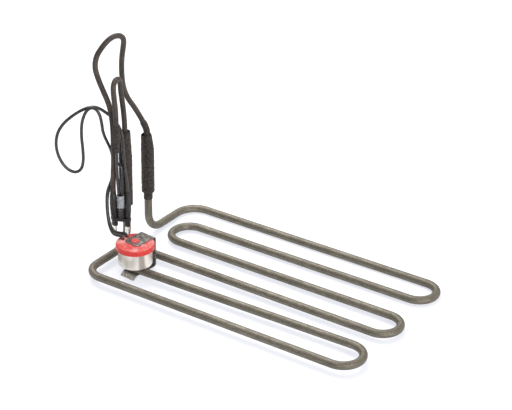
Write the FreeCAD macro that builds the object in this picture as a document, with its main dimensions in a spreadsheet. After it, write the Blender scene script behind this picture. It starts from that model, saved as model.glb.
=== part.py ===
import FreeCAD, Part
import math
import os
import Sketcher
from FreeCAD import Placement, Rotation, Vector

# A drain-pan heating element: one long tubular sheath bent into six legs and two risers,
# with sleeved leads, a clip-on temperature switch and a bundle of terminals.
# X runs along the legs, Y from the front leg to the back one, Z up.
# The origin is under the middle of the element, at the height of the clip's lowest edge.

SIZES = {
    # sheath, filling and winding
    "sheath_diameter": 6.6,
    "sheath_wall": 0.5,
    "winding_diameter": 3.4,
    "leg_height": 7.0,
    "riser_x": -125.0,
    "back_riser_y": 13.2,
    "front_riser_y": -16.4,
    "riser_bend_radius": 16.5,
    "sheath_end_height": 80.0,
    # corners and return bends, from the back leg to the front one
    "back_corner_radius": 18.2,
    "back_bend_x": 111.2,
    "back_bend_y": 58.2,
    "back_bend_radius": 14.8,
    "inner_back_bend_x": -92.7,
    "inner_back_bend_y": 27.8,
    "inner_back_bend_radius": 15.3,
    "middle_bend_x": 112.4,
    "middle_bend_y": -2.4,
    "middle_bend_radius": 14.9,
    "inner_front_bend_x": -99.0,
    "inner_front_bend_y": -30.5,
    "inner_front_bend_radius": 14.6,
    "front_bend_x": 110.1,
    "front_bend_y": -57.1,
    "front_bend_radius": 15.9,
    "front_corner_radius": 16.0,
    # ends of the sheath
    "pin_diameter": 2.0,
    "pin_foot_height": 34.0,
    "pin_stand_out": 6.5,
    "seal_depth": 7.0,
    "seal_flange": 1.2,
    "crimp_diameter": 3.6,
    "crimp_length": 11.0,
    "crimp_gap": 1.0,
    "inner_sleeve_wall": 0.6,
    "back_inner_sleeve_foot": 38.0,
    "front_inner_sleeve_foot": 37.5,
    "outer_sleeve_wall": 1.8,
    "outer_sleeve_round": 0.9,
    "back_outer_sleeve_foot": 44.5,
    "back_sleeve_reach": 5.0,
    "back_sleeve_taper": 14.0,
    "front_outer_sleeve_foot": 46.0,
    "front_sleeve_reach": 19.0,
    "front_sleeve_taper": 22.0,
    "sleeve_tip_wall": 0.7,
    "sleeve_neck": 2.0,
    "sleeve_shrink": 4.0,
    # leads and wires
    "lead_diameter": 4.5,
    "wire_diameter": 2.6,
    "strand_diameter": 1.6,
    "lead_stripped": 4.5,
    "tab_stripped": 8.0,
    "wire_stripped": 3.5,
    "lug_wire_gap": 1.6,
    "wire_rise": 2.9,
    "lead_straight": 8.0,
    "front_lead_straight": 14.5,
    "route_unit": 1.0,
    "route_lead_height": 93.0,
    # splice from the short lead to the thin jumper
    "splice_x": -123.0,
    "splice_y": -30.0,
    "splice_top": 114.0,
    "splice_gap": 7.4,
    "splice_barrel_diameter": 3.0,
    "splice_barrel_length": 6.4,
    "splice_sleeve_wall": 0.6,
    "splice_sleeve_lap": 9.0,
    # bundle: closed-end joint cap between two booted tabs, all held by a tie
    "bundle_x": -122.5,
    "bundle_y": -27.0,
    "bundle_turn": 33.4,
    "joint_cap_foot": 35.5,
    "joint_cap_length": 23.5,
    "joint_cap_diameter": 6.2,
    "joint_cap_wall": 0.35,
    "joint_cap_flare": 0.3,
    "joint_floor": 2.2,
    "joint_barrel_length": 7.0,
    "joint_wire_spacing": 2.65,
    "long_boot_shift": -6.1,
    "long_boot_back": 1.1,
    "long_boot_turn": 27.0,
    "switch_boot_shift": 6.2,
    "switch_boot_back": -0.4,
    "switch_boot_turn": 30.0,
    "boot_foot": 31.0,
    "boot_length": 30.5,
    "boot_width": 7.3,
    "boot_depth": 5.3,
    "boot_pocket_width": 6.7,
    "boot_pocket_depth": 4.5,
    "boot_pocket_height": 16.0,
    "boot_grip": 4.0,
    "boot_collar_wall": 0.35,
    "tab_width": 6.3,
    "tab_thick": 0.8,
    "tab_length": 17.0,
    "tab_foot": 20.0,
    "tab_chamfer": 1.2,
    "tab_hole_diameter": 1.6,
    "tab_hole_height": 3.4,
    "tab_neck_width": 3.0,
    "tab_neck_height": 2.0,
    "tab_barrel_diameter": 3.4,
    "tab_barrel_length": 9.0,
    "barrel_wall": 0.5,
    "tie_height": 37.0,
    "tie_width": 2.6,
    "tie_thick": 0.8,
    "tie_end_reach": 3.15,
    "tie_half_depth": 3.5,
    "tie_corner_radius": 2.2,
    "tie_head": 4.4,
    "tie_head_shift": -4.6,
    # temperature switch
    "switch_x": -96.9,
    "switch_y": -41.6,
    "cup_diameter": 28.0,
    "cup_wall": 0.7,
    "cup_floor": 0.8,
    "cup_round": 1.2,
    "cup_show": 14.2,
    "cup_lap": 1.5,
    "cap_diameter": 31.8,
    "cap_height": 5.0,
    "cap_top": 1.8,
    "cap_round": 1.5,
    "cap_inner_wall": 0.7,
    "nub_diameter": 6.4,
    "nub_height": 2.0,
    "nub_round": 0.7,
    "wire_hole_ring": 10.9,
    "splice_wire_angle": 162.0,
    "looped_wire_angle": 189.0,
    "disc_diameter": 25.0,
    "disc_thick": 0.3,
    "disc_rise": 1.2,
    "base_height": 12.2,
    "disc_seat_gap": 0.5,
    "disc_room_diameter": 23.4,
    "disc_room_height": 2.2,
    "contact_room_diameter": 20.4,
    "contact_room_height": 6.0,
    "striker_diameter": 3.0,
    "striker_clearance": 0.1,
    "post_offset": 7.5,
    "post_diameter": 2.4,
    "collar_diameter": 4.4,
    "arm_height": 2.2,
    "arm_thick": 0.3,
    "arm_width": 4.0,
    "contact_offset": 3.9,
    "contact_diameter": 2.8,
    "foot_thick": 0.6,
    "lug_thick": 0.6,
    "lug_width": 3.0,
    # strap clip that holds the switch on the fifth leg
    "clip_turn": -5.5,
    "clip_width": 14.6,
    "clip_thick": 0.8,
    "clip_back": 16.2,
    "clip_front": -5.2,
    "clip_lip_start": -6.0,
    "clip_lip_end": -10.4,
    "clip_bend_radius": 1.4,
    "clip_corner_radius": 2.6,
    "clip_hole_clearance": 0.35,
    "clip_slit_length": 3.6,
    "clip_slit_width": 0.9,
    "clip_slit_place": 7.2,
    "clip_tooth_pitch": 2.2,
    "clip_tooth_depth": 1.1,
    # running fits of parts that are pushed together
    "fit_clearance": 0.05,
}


class Size:
    """A length with its number and with the sheet formula that gives it."""

    def __init__(self, number, formula):
        self.number = number
        self.formula = formula

    def __add__(self, other):
        other = as_size(other)
        return Size(self.number + other.number, f"({self.formula} + {other.formula})")

    def __radd__(self, other):
        return as_size(other) + self

    def __sub__(self, other):
        other = as_size(other)
        return Size(self.number - other.number, f"({self.formula} - {other.formula})")

    def __rsub__(self, other):
        return as_size(other) - self

    def __mul__(self, factor):
        return Size(self.number * factor, f"({self.formula} * {factor})")

    def __truediv__(self, divisor):
        return Size(self.number / divisor, f"({self.formula} / {divisor})")

    def __neg__(self):
        return Size(-self.number, f"(-{self.formula})")


def as_size(value):
    """Any plain number as a Size."""
    if isinstance(value, Size):
        return value
    return Size(float(value), str(float(value)))


doc = FreeCAD.newDocument("HeatingElement")
sheet = doc.addObject("Spreadsheet::Sheet", "Sizes")
for row, (alias, value) in enumerate(SIZES.items(), start=1):
    sheet.set(f"A{row}", alias.replace("_", " "))
    sheet.set(f"B{row}", str(value))
    sheet.setAlias(f"B{row}", alias)
doc.recompute()

size = {alias: Size(float(sheet.get(alias)), f"Sizes.{alias}") for alias in SIZES}
value = {alias: one.number for alias, one in size.items()}
parts = {}


def named(node, thing):
    """Give a finished piece its node name."""
    thing.Label = node
    parts[node] = thing
    return thing


def bind(thing, **properties):
    """Tie an object's properties to sizes."""
    for name, amount in properties.items():
        if isinstance(amount, Size):
            thing.setExpression(name, amount.formula)
        else:
            setattr(thing, name, amount)
    return thing


def place(thing, x, y, z, turn=0.0):
    """Set an object at a point bound to sizes, turned about Z by degrees."""
    thing.Placement = Placement(Vector(0, 0, 0), Rotation(Vector(0, 0, 1), turn))
    for axis, amount in zip("xyz", (x, y, z)):
        thing.setExpression(f".Placement.Base.{axis}", as_size(amount).formula)
    return thing


def cylinder(name, diameter, x, y, low, high):
    """An upright round bar between two heights."""
    bar = doc.addObject("Part::Cylinder", name)
    bind(bar, Radius=as_size(diameter) / 2, Height=as_size(high) - low)
    return place(bar, x, y, low)


def ring(name, outside, inside, x, y, low, high):
    """An upright tube between two heights."""
    wall = cylinder(name + "Wall", outside, x, y, low, high)
    bore = cylinder(name + "Bore", inside, x, y, low, high)
    return cut(name, wall, bore)


def cut(name, base, *tools):
    """Base less one or more tools."""
    for number, tool in enumerate(tools):
        result = doc.addObject("Part::Cut", name if number == len(tools) - 1 else f"{name}Step{number}")
        result.Base = base
        result.Tool = tool
        base = result
    return base


def fuse(name, *shapes):
    """Several touching solids made one."""
    result = doc.addObject("Part::MultiFuse", name)
    result.Shapes = list(shapes)
    result.Refine = True
    return result


def profile(body, plane, points):
    """A closed sketch of straight lines whose corners are all tied to sizes."""
    sketch = body.newObject("Sketcher::SketchObject", body.Name + "Profile")
    origin = [feature for feature in body.Origin.OriginFeatures if feature.Role == plane]
    sketch.AttachmentSupport = [(origin[0], "")]
    sketch.MapMode = "FlatFace"
    corners = [(as_size(across), as_size(up)) for across, up in points]
    total = len(corners)
    for number in range(total):
        first, second = corners[number], corners[(number + 1) % total]
        start = Vector(first[0].number, first[1].number, 0)
        sketch.addGeometry(Part.LineSegment(start, Vector(second[0].number, second[1].number, 0)))
    for number in range(total):
        sketch.addConstraint(Sketcher.Constraint("Coincident", number, 2, (number + 1) % total, 1))
    for number, corner in enumerate(corners):
        for kind, axis, amount in zip(("DistanceX", "DistanceY"), (-2, -1), corner):
            if amount.number == 0:
                sketch.addConstraint(Sketcher.Constraint("PointOnObject", number, 1, axis))
                continue
            at = sketch.addConstraint(Sketcher.Constraint(kind, -1, 1, number, 1, amount.number))
            sketch.setExpression(f"Constraints[{at}]", amount.formula)
    return sketch


def turned(name, points, x, y, z, turn=0.0):
    """A body of revolution about its own upright axis, from a half section."""
    body = doc.addObject("PartDesign::Body", name)
    place(body, x, y, z, turn)
    sketch = profile(body, "XZ_Plane", points)
    spin = body.newObject("PartDesign::Revolution", name + "Turn")
    spin.Profile = sketch
    spin.ReferenceAxis = (sketch, ["V_Axis"])
    spin.Angle = 360.0
    doc.recompute()
    return body


def edges_where(shape, test):
    """Names of the edges whose middle point passes a test."""
    found = []
    for number, edge in enumerate(shape.Edges, start=1):
        middle = edge.valueAt((edge.FirstParameter + edge.LastParameter) / 2)
        if test(edge, middle):
            found.append(f"Edge{number}")
    return found


def rounded(body, name, amount, test):
    """Round the chosen edges of a body's last feature."""
    base = body.Tip
    feature = body.newObject("PartDesign::Fillet", name)
    feature.Base = (base, edges_where(base.Shape, test))
    bind(feature, Radius=amount)
    base.Visibility = False
    doc.recompute()
    return feature


def feature(name, shape):
    """A shape made directly, as an object of the document."""
    result = doc.addObject("Part::Feature", name)
    result.Shape = shape
    result.Placement = Placement()
    return result


# Path of the sheath's centreline

def arc(centre, radius, start, end, plane="flat"):
    """An arc by its angles in degrees, in the plane of the legs or of the risers."""
    middle = (start + end) / 2
    points = []
    for angle in (start, middle, end):
        across = radius * math.cos(math.radians(angle))
        along = radius * math.sin(math.radians(angle))
        offset = Vector(across, along, 0) if plane == "flat" else Vector(0, across, along)
        points.append(centre + offset)
    return Part.Arc(*points).toShape()


def bends():
    """Centre, radius and side of each return bend, from the back leg to the front one."""
    names = ("back_bend", "inner_back_bend", "middle_bend", "inner_front_bend", "front_bend")
    return [
        (Vector(value[name + "_x"], value[name + "_y"], value["leg_height"]), value[name + "_radius"])
        for name in names
    ]


def leg_angles():
    """Angle at which each leg between two bends leaves the first bend."""
    angles = []
    for number, ((one, first), (two, second)) in enumerate(zip(bends(), bends()[1:])):
        gap = two - one
        heading = math.degrees(math.atan2(gap.y, gap.x))
        reach = math.degrees(math.acos((first + second) / gap.Length))
        angles.append(heading + reach if number % 2 == 0 else heading - reach)
    return angles


def heater_wire(end_height):
    """The centreline from the back riser's end to the front riser's end, at one height."""
    height = value["leg_height"]
    turn = value["riser_bend_radius"]
    left = value["riser_x"]
    back, front = value["back_riser_y"], value["front_riser_y"]
    chain = bends()
    back_leg = chain[0][0].y + chain[0][1]
    front_leg = chain[-1][0].y - chain[-1][1]
    back_corner, front_corner = value["back_corner_radius"], value["front_corner_radius"]
    edges = [
        arc(Vector(left, back + turn, height + turn), turn, 180, 270, "riser"),
        arc(Vector(left + back_corner, back_leg - back_corner, height), back_corner, 180, 90),
    ]
    angles = leg_angles()
    arrival = 90.0
    for number, (centre, radius) in enumerate(chain):
        clockwise = number % 2 == 0
        if number < len(angles):
            leave = angles[number]
        else:
            leave = -90.0
        if clockwise:
            leave = arrival - (arrival - leave) % 360.0
        else:
            leave = arrival + (leave - arrival) % 360.0
        edges.append(arc(centre, radius, arrival, leave))
        arrival = leave + 180.0
    edges += [
        arc(Vector(left + front_corner, front_leg + front_corner, height), front_corner, 270, 180),
        arc(Vector(left, front - turn, height + turn), turn, 270, 360, "riser"),
    ]
    stops = [Vector(left, back, end_height)]
    for edge in edges:
        stops += [edge.valueAt(edge.FirstParameter), edge.valueAt(edge.LastParameter)]
    stops.append(Vector(left, front, end_height))
    chained = []
    for number, edge in enumerate(edges):
        chained += [Part.LineSegment(stops[2 * number], stops[2 * number + 1]).toShape(), edge]
    chained.append(Part.LineSegment(stops[-2], stops[-1]).toShape())
    return Part.Wire(chained)


def swept(name, path, diameter, end_height):
    """A round bar along a path that starts straight down from a height."""
    section = doc.addObject("Part::Circle", name + "Section")
    bind(section, Radius=diameter / 2)
    place(section, size["riser_x"], size["back_riser_y"], end_height)
    bar = doc.addObject("Part::Sweep", name)
    bar.Sections = [section]
    bar.Spine = (path, [f"Edge{number}" for number in range(1, len(path.Shape.Edges) + 1)])
    bar.Solid = True
    bar.Frenet = False
    return bar


sheath_bore = size["sheath_diameter"] - size["sheath_wall"] * 2
fill_end = size["sheath_end_height"] - size["seal_depth"]


def sheath_and_filling():
    """The hollow sheath, the packed powder in it and the winding in the powder."""
    long_path = feature("SheathPath", heater_wire(value["sheath_end_height"]))
    fill_path = feature("FillPath", heater_wire(fill_end.number))
    coil_path = feature("WindingPath", heater_wire(value["pin_foot_height"]))
    outside = swept("SheathOutside", long_path, size["sheath_diameter"], size["sheath_end_height"])
    inside = swept("SheathInside", long_path, sheath_bore, size["sheath_end_height"])
    named("sheath_tube", cut("SheathTube", outside, inside))
    powder = swept("PowderBar", fill_path, sheath_bore, fill_end)
    room = swept("WindingRoom", coil_path, size["winding_diameter"], size["pin_foot_height"])
    holes = [
        cylinder(side + "PinHole", size["pin_diameter"], size["riser_x"], y, size["pin_foot_height"], fill_end)
        for side, y in (("Back", size["back_riser_y"]), ("Front", size["front_riser_y"]))
    ]
    named("magnesia_fill", cut("MagnesiaFill", powder, room, *holes))
    winding = swept("WindingBar", coil_path, size["winding_diameter"], size["pin_foot_height"])
    named("resistance_winding", winding)


pin_top = size["sheath_end_height"] + size["pin_stand_out"]
crimp_low = pin_top - (size["crimp_length"] - size["crimp_gap"]) / 2
crimp_high = crimp_low + size["crimp_length"]
lead_start = crimp_high + size["crimp_gap"] / 2
inner_sleeve_diameter = size["sheath_diameter"] + size["inner_sleeve_wall"] * 2
outer_sleeve_diameter = inner_sleeve_diameter + size["outer_sleeve_wall"] * 2


def riser_end(side, y, sleeve_foot, outer_foot, reach, taper, neck):
    """Pin, seal, crimp and both sleeves at one end of the sheath."""
    x = size["riser_x"]
    end = size["sheath_end_height"]
    title = side.capitalize()
    pin = cylinder(title + "Pin", size["pin_diameter"], x, y, size["pin_foot_height"], pin_top)
    named(side + "_cold_pin", pin)
    pin_radius, bore_radius = size["pin_diameter"] / 2, sheath_bore / 2
    sheath_radius = size["sheath_diameter"] / 2
    plug = [
        (pin_radius, 0),
        (bore_radius, 0),
        (bore_radius, size["seal_depth"]),
        (sheath_radius, size["seal_depth"]),
        (sheath_radius - 0.4, size["seal_depth"] + size["seal_flange"]),
        (pin_radius, size["seal_depth"] + size["seal_flange"]),
    ]
    named(side + "_end_seal", turned(title + "Seal", plug, x, y, fill_end))
    crimp_radius = size["crimp_diameter"] / 2
    web = (size["crimp_length"] - size["crimp_gap"]) / 2
    strand = size["strand_diameter"] / 2
    barrel = [
        (pin_radius, 0),
        (crimp_radius, 0),
        (crimp_radius, size["crimp_length"]),
        (strand, size["crimp_length"]),
        (strand, web + size["crimp_gap"]),
        (0, web + size["crimp_gap"]),
        (0, web),
        (pin_radius, web),
    ]
    named(side + "_pin_crimp", turned(title + "Crimp", barrel, x, y, crimp_low))
    lead_radius = size["lead_diameter"] / 2 + size["fit_clearance"]
    top = lead_start + reach
    outer_length = top - outer_foot
    shrink = size["sleeve_shrink"]
    skin = [
        (sheath_radius, 0),
        (inner_sleeve_diameter / 2, 0),
        (inner_sleeve_diameter / 2, top - sleeve_foot - shrink),
        (lead_radius + size["inner_sleeve_wall"], top - sleeve_foot),
        (lead_radius, top - sleeve_foot),
        (lead_radius, lead_start - sleeve_foot + size["sleeve_neck"] * 2),
        (sheath_radius, end + size["seal_flange"] - sleeve_foot),
    ]
    skin_body = turned(title + "InnerSleeve", skin, x, y, sleeve_foot)
    if neck:
        named(side + "_inner_sleeve", fuse(title + "InnerSleeveWhole", skin_body, neck))
    else:
        named(side + "_inner_sleeve", skin_body)
    outer = [
        (inner_sleeve_diameter / 2, 0),
        (outer_sleeve_diameter / 2, 0),
        (outer_sleeve_diameter / 2, outer_length - taper),
        (inner_sleeve_diameter / 2 + size["sleeve_tip_wall"], outer_length),
        (inner_sleeve_diameter / 2, outer_length),
    ]
    outer_body = turned(title + "OuterSleeve", outer, x, y, outer_foot)
    rim = outer_sleeve_diameter.number / 2
    rounded(
        outer_body, title + "OuterSleeveRound", size["outer_sleeve_round"],
        lambda edge, middle: abs(math.hypot(middle.x, middle.y) - rim) < 0.01 and edge.Closed,
    )
    named(side + "_outer_sleeve", outer_body)


# Routes of the leads and wires: straight runs joined by tangent arcs

def corner_radius(before, corner, after):
    """Radius of the arc at a corner: 0.45 of the shorter run over the tangent of half the turn."""
    first, second = corner - before, after - corner
    half = first.getAngle(second) / 2
    return 0.45 * min(first.Length, second.Length) / math.tan(half)


def route_wire(points):
    """A wire of runs and arcs through a route's points."""
    edges = []
    start = points[0]
    for before, corner, after in zip(points, points[1:], points[2:]):
        first, second = (corner - before).normalize(), (after - corner).normalize()
        half = first.getAngle(second) / 2
        if half < math.radians(0.25):
            edges.append(Part.LineSegment(start, corner).toShape())
            start = corner
            continue
        radius = corner_radius(before, corner, after)
        back = radius * math.tan(half)
        begin, end = corner - first * back, corner + second * back
        inward = (second - first).normalize()
        middle = corner + inward * (radius / math.cos(half) - radius)
        edges.append(Part.LineSegment(start, begin).toShape())
        edges.append(Part.Arc(begin, middle, end).toShape())
        start = end
    edges.append(Part.LineSegment(start, points[-1]).toShape())
    return Part.Wire(edges)


def round_sweep(wire, diameter):
    """A solid round bar along a wire."""
    start = wire.Edges[0]
    heading = start.tangentAt(start.FirstParameter)
    circle = Part.Wire(Part.makeCircle(diameter / 2, start.valueAt(start.FirstParameter), heading))
    return wire.makePipeShell([circle], True, False)


def cord(node, points, diameter, first_bare, last_bare):
    """A lead or wire along its route, with bare strands at its ends."""
    wire = route_wire(points)
    tube = round_sweep(wire, diameter)
    expected = math.pi * diameter ** 2 / 4 * wire.Length
    radii = [corner_radius(*three) for three in zip(points, points[1:], points[2:])]
    print(f"{node}: length {wire.Length:.1f}, tightest radius {min(radii):.1f},",
          f"volume over section times length {tube.Volume / expected:.4f}")
    print("  radii", " ".join(f"{min(radius, 999):.0f}" for radius in radii))
    strands = []
    for tip, inner, bare in ((points[0], points[1], first_bare), (points[-1], points[-2], last_bare)):
        strands.append(Part.makeCylinder(value["strand_diameter"] / 2, bare, tip, tip - inner))
    named(node, feature(node.title().replace("_", ""), tube.fuse(strands).removeSplitter()))
    return wire


def bundle_point(across, back, height):
    """A point of the terminal bundle: across it, behind its middle, at a height."""
    turn = math.radians(value["bundle_turn"])
    return Vector(
        value["bundle_x"] + across * math.cos(turn) - back * math.sin(turn),
        value["bundle_y"] + across * math.sin(turn) + back * math.cos(turn),
        height,
    )


def bundle_sizes(across, back):
    """The same point as bound sizes in plan."""
    cosine = f"cos(Sizes.bundle_turn * 1deg)"
    sine = f"sin(Sizes.bundle_turn * 1deg)"
    across, back = as_size(across), as_size(back)
    spot = bundle_point(across.number, back.number, 0)
    x = f"(Sizes.bundle_x + {across.formula} * {cosine} - {back.formula} * {sine})"
    y = f"(Sizes.bundle_y + {across.formula} * {sine} + {back.formula} * {cosine})"
    return Size(spot.x, x), Size(spot.y, y)


boot_top = value["boot_foot"] + value["boot_length"]
jacket_end = value["boot_foot"] + value["boot_pocket_height"] + value["boot_grip"]
cap_low = size["leg_height"] + size["sheath_diameter"] / 2 + size["cup_show"]
base_low = size["leg_height"] + size["sheath_diameter"] / 2 + size["cup_floor"] + size["disc_seat_gap"]
lug_low = base_low + size["base_height"]
lug_top = lug_low + size["lug_thick"]
cap_top = cap_low + size["cap_height"]
joint_bore_floor = value["joint_cap_foot"] + value["joint_cap_length"] / 2 + 4.0


def wire_hole(angle, height):
    """A point on the axis of one of the cap's wire holes."""
    turn = math.radians(angle)
    return Vector(
        value["switch_x"] + value["wire_hole_ring"] * math.cos(turn),
        value["switch_y"] + value["wire_hole_ring"] * math.sin(turn),
        height,
    )


def joint_wire(side, height):
    """A point on the axis of one of the two wires in the joint cap."""
    return bundle_point(side * value["joint_wire_spacing"] / 2, 0, height)


# Free points of each cord in route units, for leads that start at the drawn height
COURSES = {
    "long_lead": [
        (-126.9, 11.7, 107.1), (-129.0, 9.5, 113.8), (-132.6, 6.1, 123.0), (-136.5, 1.5, 132.5),
        (-137.5, -2.0, 144.0), (-136.5, -4.5, 157.5), (-134.2, -6.6, 170.5), (-131.7, -7.6, 180.0),
        (-129.8, -8.8, 187.2), (-130.6, -11.4, 191.2), (-133.8, -15.3, 191.5), (-136.8, -19.4, 188.9),
        (-139.6, -23.6, 184.0), (-143.0, -28.0, 176.0), (-143.0, -30.2, 166.8), (-139.7, -30.0, 157.6),
        (-135.8, -28.7, 147.5), (-132.3, -27.3, 138.5), (-130.0, -26.8, 129.0), (-128.8, -26.8, 117.5),
        (-128.4, -27.1, 102.5), (-128.0, -27.9, 86.0), (-127.9, -29.1, 76.0),
    ],
    "short_lead": [
        (-125.1, -16.4, 121.0), (-125.9, -17.0, 134.0), (-127.0, -17.9, 146.5), (-127.1, -18.2, 154.2),
        (-125.9, -21.7, 158.9), (-125.3, -26.6, 159.7), (-124.5, -30.4, 156.1), (-124.0, -30.9, 150.0),
        (-123.5, -30.6, 143.1), (-123.0, -30.1, 134.4),
    ],
    "jumper_wire": [
        (-123.2, -30.0, 79.5), (-123.4, -28.9, 69.5),
    ],
    "splice_wire": [
        (-113.6, -38.4, 31.0), (-118.8, -39.0, 30.4), (-123.7, -37.9, 31.3), (-127.2, -36.6, 35.5),
        (-129.7, -35.1, 41.5), (-131.9, -33.0, 47.3), (-134.1, -30.1, 52.5), (-135.6, -27.3, 56.4),
        (-136.1, -24.5, 59.9), (-135.4, -21.9, 64.2), (-134.1, -20.5, 70.1), (-131.6, -21.0, 77.6),
        (-126.8, -23.9, 85.4), (-122.5, -25.9, 86.1), (-121.2, -26.2, 79.3), (-121.1, -26.1, 69.3),
    ],
    "looped_wire": [
        (-113.7, -44.0, 31.4), (-118.1, -43.8, 31.8), (-122.6, -41.7, 35.4), (-125.5, -40.0, 40.7),
        (-127.7, -38.4, 48.6), (-129.3, -36.5, 56.5), (-130.7, -33.9, 61.7), (-132.2, -29.8, 64.5),
        (-132.5, -26.0, 68.2), (-131.8, -24.6, 75.1), (-131.6, -24.4, 84.2), (-131.9, -24.6, 91.8),
        (-132.8, -25.9, 97.8), (-133.1, -29.0, 104.1), (-132.6, -33.0, 110.9), (-132.0, -36.0, 117.4),
        (-131.6, -37.1, 123.5), (-133.2, -37.3, 131.5), (-136.6, -38.6, 136.7), (-140.9, -40.6, 136.6),
        (-144.5, -42.4, 131.8), (-147.0, -43.8, 123.0), (-147.6, -44.0, 111.5), (-147.1, -43.3, 100.5),
        (-146.9, -43.1, 89.4), (-148.9, -43.9, 80.7), (-153.7, -46.8, 77.8), (-159.8, -50.7, 82.0),
        (-164.5, -53.5, 91.8), (-166.0, -54.5, 103.0), (-164.8, -53.3, 113.0), (-161.0, -50.0, 121.0),
        (-155.2, -45.6, 127.6), (-148.5, -40.5, 133.1), (-143.0, -35.5, 135.4), (-139.8, -30.4, 133.2),
        (-136.5, -25.8, 128.5), (-132.8, -22.7, 124.0), (-127.3, -22.5, 119.4), (-122.6, -23.4, 113.4),
        (-121.4, -23.5, 103.0), (-121.2, -23.4, 92.0), (-119.9, -23.5, 79.5),
    ],
}


def course(node, lift_end=0.0):
    """A cord's free points, lifted with the sheath's ends by a share that falls along the cord."""
    unit = value["route_unit"]
    rise = lead_start.number - value["route_lead_height"] * unit
    total = len(COURSES[node])
    points = []
    for number, point in enumerate(COURSES[node]):
        share = 1.0 - (1.0 - lift_end) * number / total
        points.append(Vector(*point) * unit + Vector(0, 0, rise * share))
    return points


def long_lead_route():
    """From the back riser, high over the others, down to the left tab."""
    end = (value["long_boot_shift"], value["long_boot_back"])
    start = Vector(value["riser_x"], value["back_riser_y"], lead_start.number)
    first = start + Vector(0, 0, value["lead_straight"])
    ends = [bundle_point(*end, boot_top + 4.6), bundle_point(*end, jacket_end)]
    return [start, first] + course("long_lead") + ends


def short_lead_route():
    """From the front riser, over a tight loop, down to the splice."""
    start = Vector(value["riser_x"], value["front_riser_y"], lead_start.number)
    first = start + Vector(0, 0, value["front_lead_straight"])
    splice = Vector(value["splice_x"], value["splice_y"], value["splice_top"])
    return [start, first] + course("short_lead", 0.5) + [splice + Vector(0, 0, 10.8), splice]


def jumper_route():
    """From the splice down to the joint cap."""
    splice = Vector(value["splice_x"], value["splice_y"], value["splice_top"] - value["splice_gap"])
    first = splice - Vector(0, 0, 12.6)
    return [splice, first] + course("jumper_wire") + [joint_wire(-1, 59.5), joint_wire(-1, joint_bore_floor)]


def splice_wire_route():
    """From the switch, up behind the long lead, over and down into the joint cap."""
    angle = value["splice_wire_angle"]
    ends = [joint_wire(1, 58.0), joint_wire(1, joint_bore_floor)]
    return wire_start(angle) + course("splice_wire") + ends


def looped_wire_route():
    """From the switch, up the bundle, out in a wide loop and back down to the right tab."""
    end = (value["switch_boot_shift"], value["switch_boot_back"])
    ends = [bundle_point(*end, boot_top + 4.5), bundle_point(*end, jacket_end)]
    return wire_start(value["looped_wire_angle"]) + course("looped_wire") + ends


def wire_start(angle):
    """The upright start of a wire in the cap, from its lug to just above the hole."""
    low = lug_top.number + value["lug_wire_gap"]
    return [wire_hole(angle, low), wire_hole(angle, cap_top.number + value["wire_rise"])]


def sleeve_neck_piece(lead_wire):
    """The part of the back inner sleeve that leans over with the lead."""
    top = lead_start.number + value["back_sleeve_reach"]
    reach = Part.Wire(lead_wire.Edges[:5])
    outside = round_sweep(reach, value["lead_diameter"] + (value["inner_sleeve_wall"] + value["fit_clearance"]) * 2)
    inside = round_sweep(reach, value["lead_diameter"] + value["fit_clearance"] * 2)
    above = Part.makeBox(80, 80, 60, Vector(value["riser_x"] - 40, value["back_riser_y"] - 40, top))
    return feature("BackSleeveNeck", outside.cut(inside).common(above))


def splice_pieces():
    """The barrel and the shrunk sleeve that join the short lead to the jumper."""
    x, y = size["splice_x"], size["splice_y"]
    low = size["splice_top"] - size["splice_gap"]
    barrel_low = low + (size["splice_gap"] - size["splice_barrel_length"]) / 2
    barrel = ring(
        "SpliceBarrel", size["splice_barrel_diameter"], size["strand_diameter"],
        x, y, barrel_low, barrel_low + size["splice_barrel_length"],
    )
    named("splice_barrel", barrel)
    clearance = size["fit_clearance"]
    lead, wire = size["lead_diameter"] / 2 + clearance, size["wire_diameter"] / 2 + clearance
    wall, lap = size["splice_sleeve_wall"], size["splice_sleeve_lap"]
    skin = [
        (wire, 0),
        (wire + wall, 0),
        (wire + wall, lap * 0.7),
        (lead + wall, lap + size["splice_gap"]),
        (lead + wall, lap * 1.9 + size["splice_gap"]),
        (lead, lap * 1.9 + size["splice_gap"]),
        (lead, lap + size["splice_gap"]),
        (size["splice_barrel_diameter"] / 2 + 0.05, lap + 0.2),
        (wire, lap),
    ]
    named("splice_sleeve", turned("SpliceSleeve", skin, x, y, low - lap))


def joint_cap_pieces():
    """The closed-end cap over the joint and the metal barrel inside it."""
    x, y = size["bundle_x"], size["bundle_y"]
    radius, wall = size["joint_cap_diameter"] / 2, size["joint_cap_wall"]
    floor, length = size["joint_floor"], size["joint_cap_length"]
    shell = [
        (0, 0),
        (radius - 1.0, 0),
        (radius, 1.0),
        (radius, length),
        (radius - wall, length),
        (radius - wall, floor),
        (0, floor),
    ]
    named("joint_cap", turned("JointCap", shell, x, y, size["joint_cap_foot"]))
    low = size["joint_cap_foot"] + floor + 1.0
    sleeve = ring(
        "JointBarrel", size["joint_cap_diameter"] - wall * 2 - 0.02,
        size["joint_wire_spacing"] + size["strand_diameter"] + 0.04,
        x, y, low, low + size["joint_barrel_length"],
    )
    named("joint_barrel", sleeve)


def oval(name, width, depth, x, y, height, turn):
    """A flat ellipse at a height, its long axis turned about Z."""
    curve = doc.addObject("Part::Ellipse", name)
    bind(curve, MajorRadius=width / 2, MinorRadius=depth / 2)
    return place(curve, x, y, height, turn)


def loft(name, *sections):
    """A smooth solid through flat sections."""
    result = doc.addObject("Part::Loft", name)
    result.Sections = list(sections)
    result.Solid = True
    result.Ruled = False
    return result


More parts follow.
